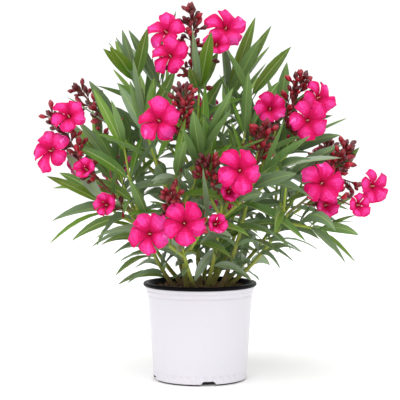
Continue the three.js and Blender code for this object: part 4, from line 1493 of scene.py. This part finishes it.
def build_stage(settings):
    """The floor, the white surroundings, the soft key light and the camera."""
    bpy.ops.object.select_all(action="DESELECT")
    bpy.ops.mesh.primitive_plane_add(size=FLOOR_SIZE, location=(0, 0, 0))
    floor = bpy.context.object
    floor.name = "studio_floor"
    floor.data.materials.append(surface(
        "Pale floor", settings.floor, 0.9, Specular_IOR_Level=0.1,
        Emission_Color=(1, 1, 1, 1), Emission_Strength=settings.floor_glow,
    ))

    light = bpy.data.lights.new("Key", "SUN")
    light.energy = settings.key
    light.angle = settings.key_softness
    lamp = link_new("Key", light)
    lamp.rotation_euler = (-heading(*KEY_FROM)).to_track_quat("-Z", "Y").to_euler()

    camera = bpy.data.cameras.new("Camera")
    camera.lens = settings.lens
    camera.sensor_width = 36
    viewer = link_new("Camera", camera)
    viewer.location = (0, -settings.distance, settings.height)
    aim = Vector((0, 0, settings.aim)) - viewer.location
    viewer.rotation_euler = aim.to_track_quat("-Z", "Y").to_euler()

    scene = bpy.context.scene
    scene.world = studio_surroundings(settings)
    scene.camera = viewer
    scene.view_settings.view_transform = "Standard"


# ---- operators, panel and registration ----

PLANS = []


def grown_plans():
    """The plant's plan, worked out the first time that it is asked for."""
    if not PLANS:
        PLANS.extend(grow())
    return PLANS


class AddPotWall(bpy.types.Operator):
    """Build the white wall of the nursery pot, with its collar, flutes and drain notches"""
    bl_idname = "oleander.add_pot_wall"
    bl_label = "Pot wall"

    def execute(self, context):
        build_pot_wall(context.scene.oleander_pot)
        return {"FINISHED"}


class AddPotRim(bpy.types.Operator):
    """Build the black rolled lip and lining of the pot"""
    bl_idname = "oleander.add_pot_rim"
    bl_label = "Pot rim"

    def execute(self, context):
        build_pot_rim(context.scene.oleander_pot)
        return {"FINISHED"}


class AddPottingMix(bpy.types.Operator):
    """Fill the pot with moist mix and scatter bark chips on it"""
    bl_idname = "oleander.add_potting_mix"
    bl_label = "Potting mix"

    def execute(self, context):
        build_potting_mix(context.scene.oleander_pot)
        build_bark_chips(context.scene.oleander_pot)
        return {"FINISHED"}


class AddStems(bpy.types.Operator):
    """Grow the bare stems, then the green stems and shoots above them"""
    bl_idname = "oleander.add_stems"
    bl_label = "Stems and shoots"

    def execute(self, context):
        build_stems(grown_plans(), context.scene.oleander_foliage)
        build_green_twigs(grown_plans(), context.scene.oleander_foliage)
        return {"FINISHED"}


class AddLeaves(bpy.types.Operator):
    """Grow the leaves, with the finer ones between them"""
    bl_idname = "oleander.add_leaves"
    bl_label = "Leaves"

    def execute(self, context):
        settings = context.scene.oleander_foliage
        materials = leaf_materials(settings)
        for kind in ("leaves", "fine_leaves"):
            build_leaves(kind, grown_plans(), settings, materials)
        return {"FINISHED"}


class AddFlowerStalks(bpy.types.Operator):
    """Grow the flower stalks"""
    bl_idname = "oleander.add_flower_stalks"
    bl_label = "Flower stalks"

    def execute(self, context):
        build_stalks(grown_plans(), context.scene.oleander_blossom)
        return {"FINISHED"}


class AddBuds(bpy.types.Operator):
    """Grow the buds on the flower stalks"""
    bl_idname = "oleander.add_buds"
    bl_label = "Buds"

    def execute(self, context):
        build_buds(grown_plans(), context.scene.oleander_blossom)
        return {"FINISHED"}


class AddBlooms(bpy.types.Operator):
    """Open the blooms on the flower stalks"""
    bl_idname = "oleander.add_blooms"
    bl_label = "Blooms"

    def execute(self, context):
        build_blooms(grown_plans(), context.scene.oleander_blossom)
        return {"FINISHED"}


class AddStage(bpy.types.Operator):
    """Lay the pale floor, hang the soft lights and place the camera"""
    bl_idname = "oleander.add_stage"
    bl_label = "Stage"

    def execute(self, context):
        build_stage(context.scene.oleander_stage)
        return {"FINISHED"}


OPERATORS = (
    AddPotWall, AddPotRim, AddPottingMix, AddStems, AddLeaves, AddFlowerStalks, AddBuds, AddBlooms, AddStage,
)
SETTINGS = {
    "oleander_pot": OleanderPotSettings,
    "oleander_foliage": OleanderFoliageSettings,
    "oleander_blossom": OleanderBlossomSettings,
    "oleander_stage": OleanderStageSettings,
}


class OleanderPanel(bpy.types.Panel):
    """Lists the steps in the order in which they are run, then the settings"""
    bl_idname = "VIEW3D_PT_oleander"
    bl_label = "Potted oleander"
    bl_space_type = "VIEW_3D"
    bl_region_type = "UI"
    bl_category = "Oleander"

    def draw(self, context):
        for operator in OPERATORS:
            self.layout.operator(operator.bl_idname)
        for name, group in SETTINGS.items():
            box = self.layout.box()
            for setting in group.__annotations__:
                box.prop(getattr(context.scene, name), setting)


def register():
    """Adds the add-on's classes and its groups of settings to Blender."""
    for group in (*SETTINGS.values(), *OPERATORS, OleanderPanel):
        bpy.utils.register_class(group)
    for name, group in SETTINGS.items():
        setattr(bpy.types.Scene, name, PointerProperty(type=group))


def unregister():
    """Takes them out again."""
    for name in SETTINGS:
        delattr(bpy.types.Scene, name)
    for group in reversed((*SETTINGS.values(), *OPERATORS, OleanderPanel)):
        bpy.utils.unregister_class(group)


def main():
    """Runs the steps in their order."""
    register()
    for operator in OPERATORS:
        category, name = operator.bl_idname.split(".")
        getattr(getattr(bpy.ops, category), name)()


if __name__ == "__main__":
    main()
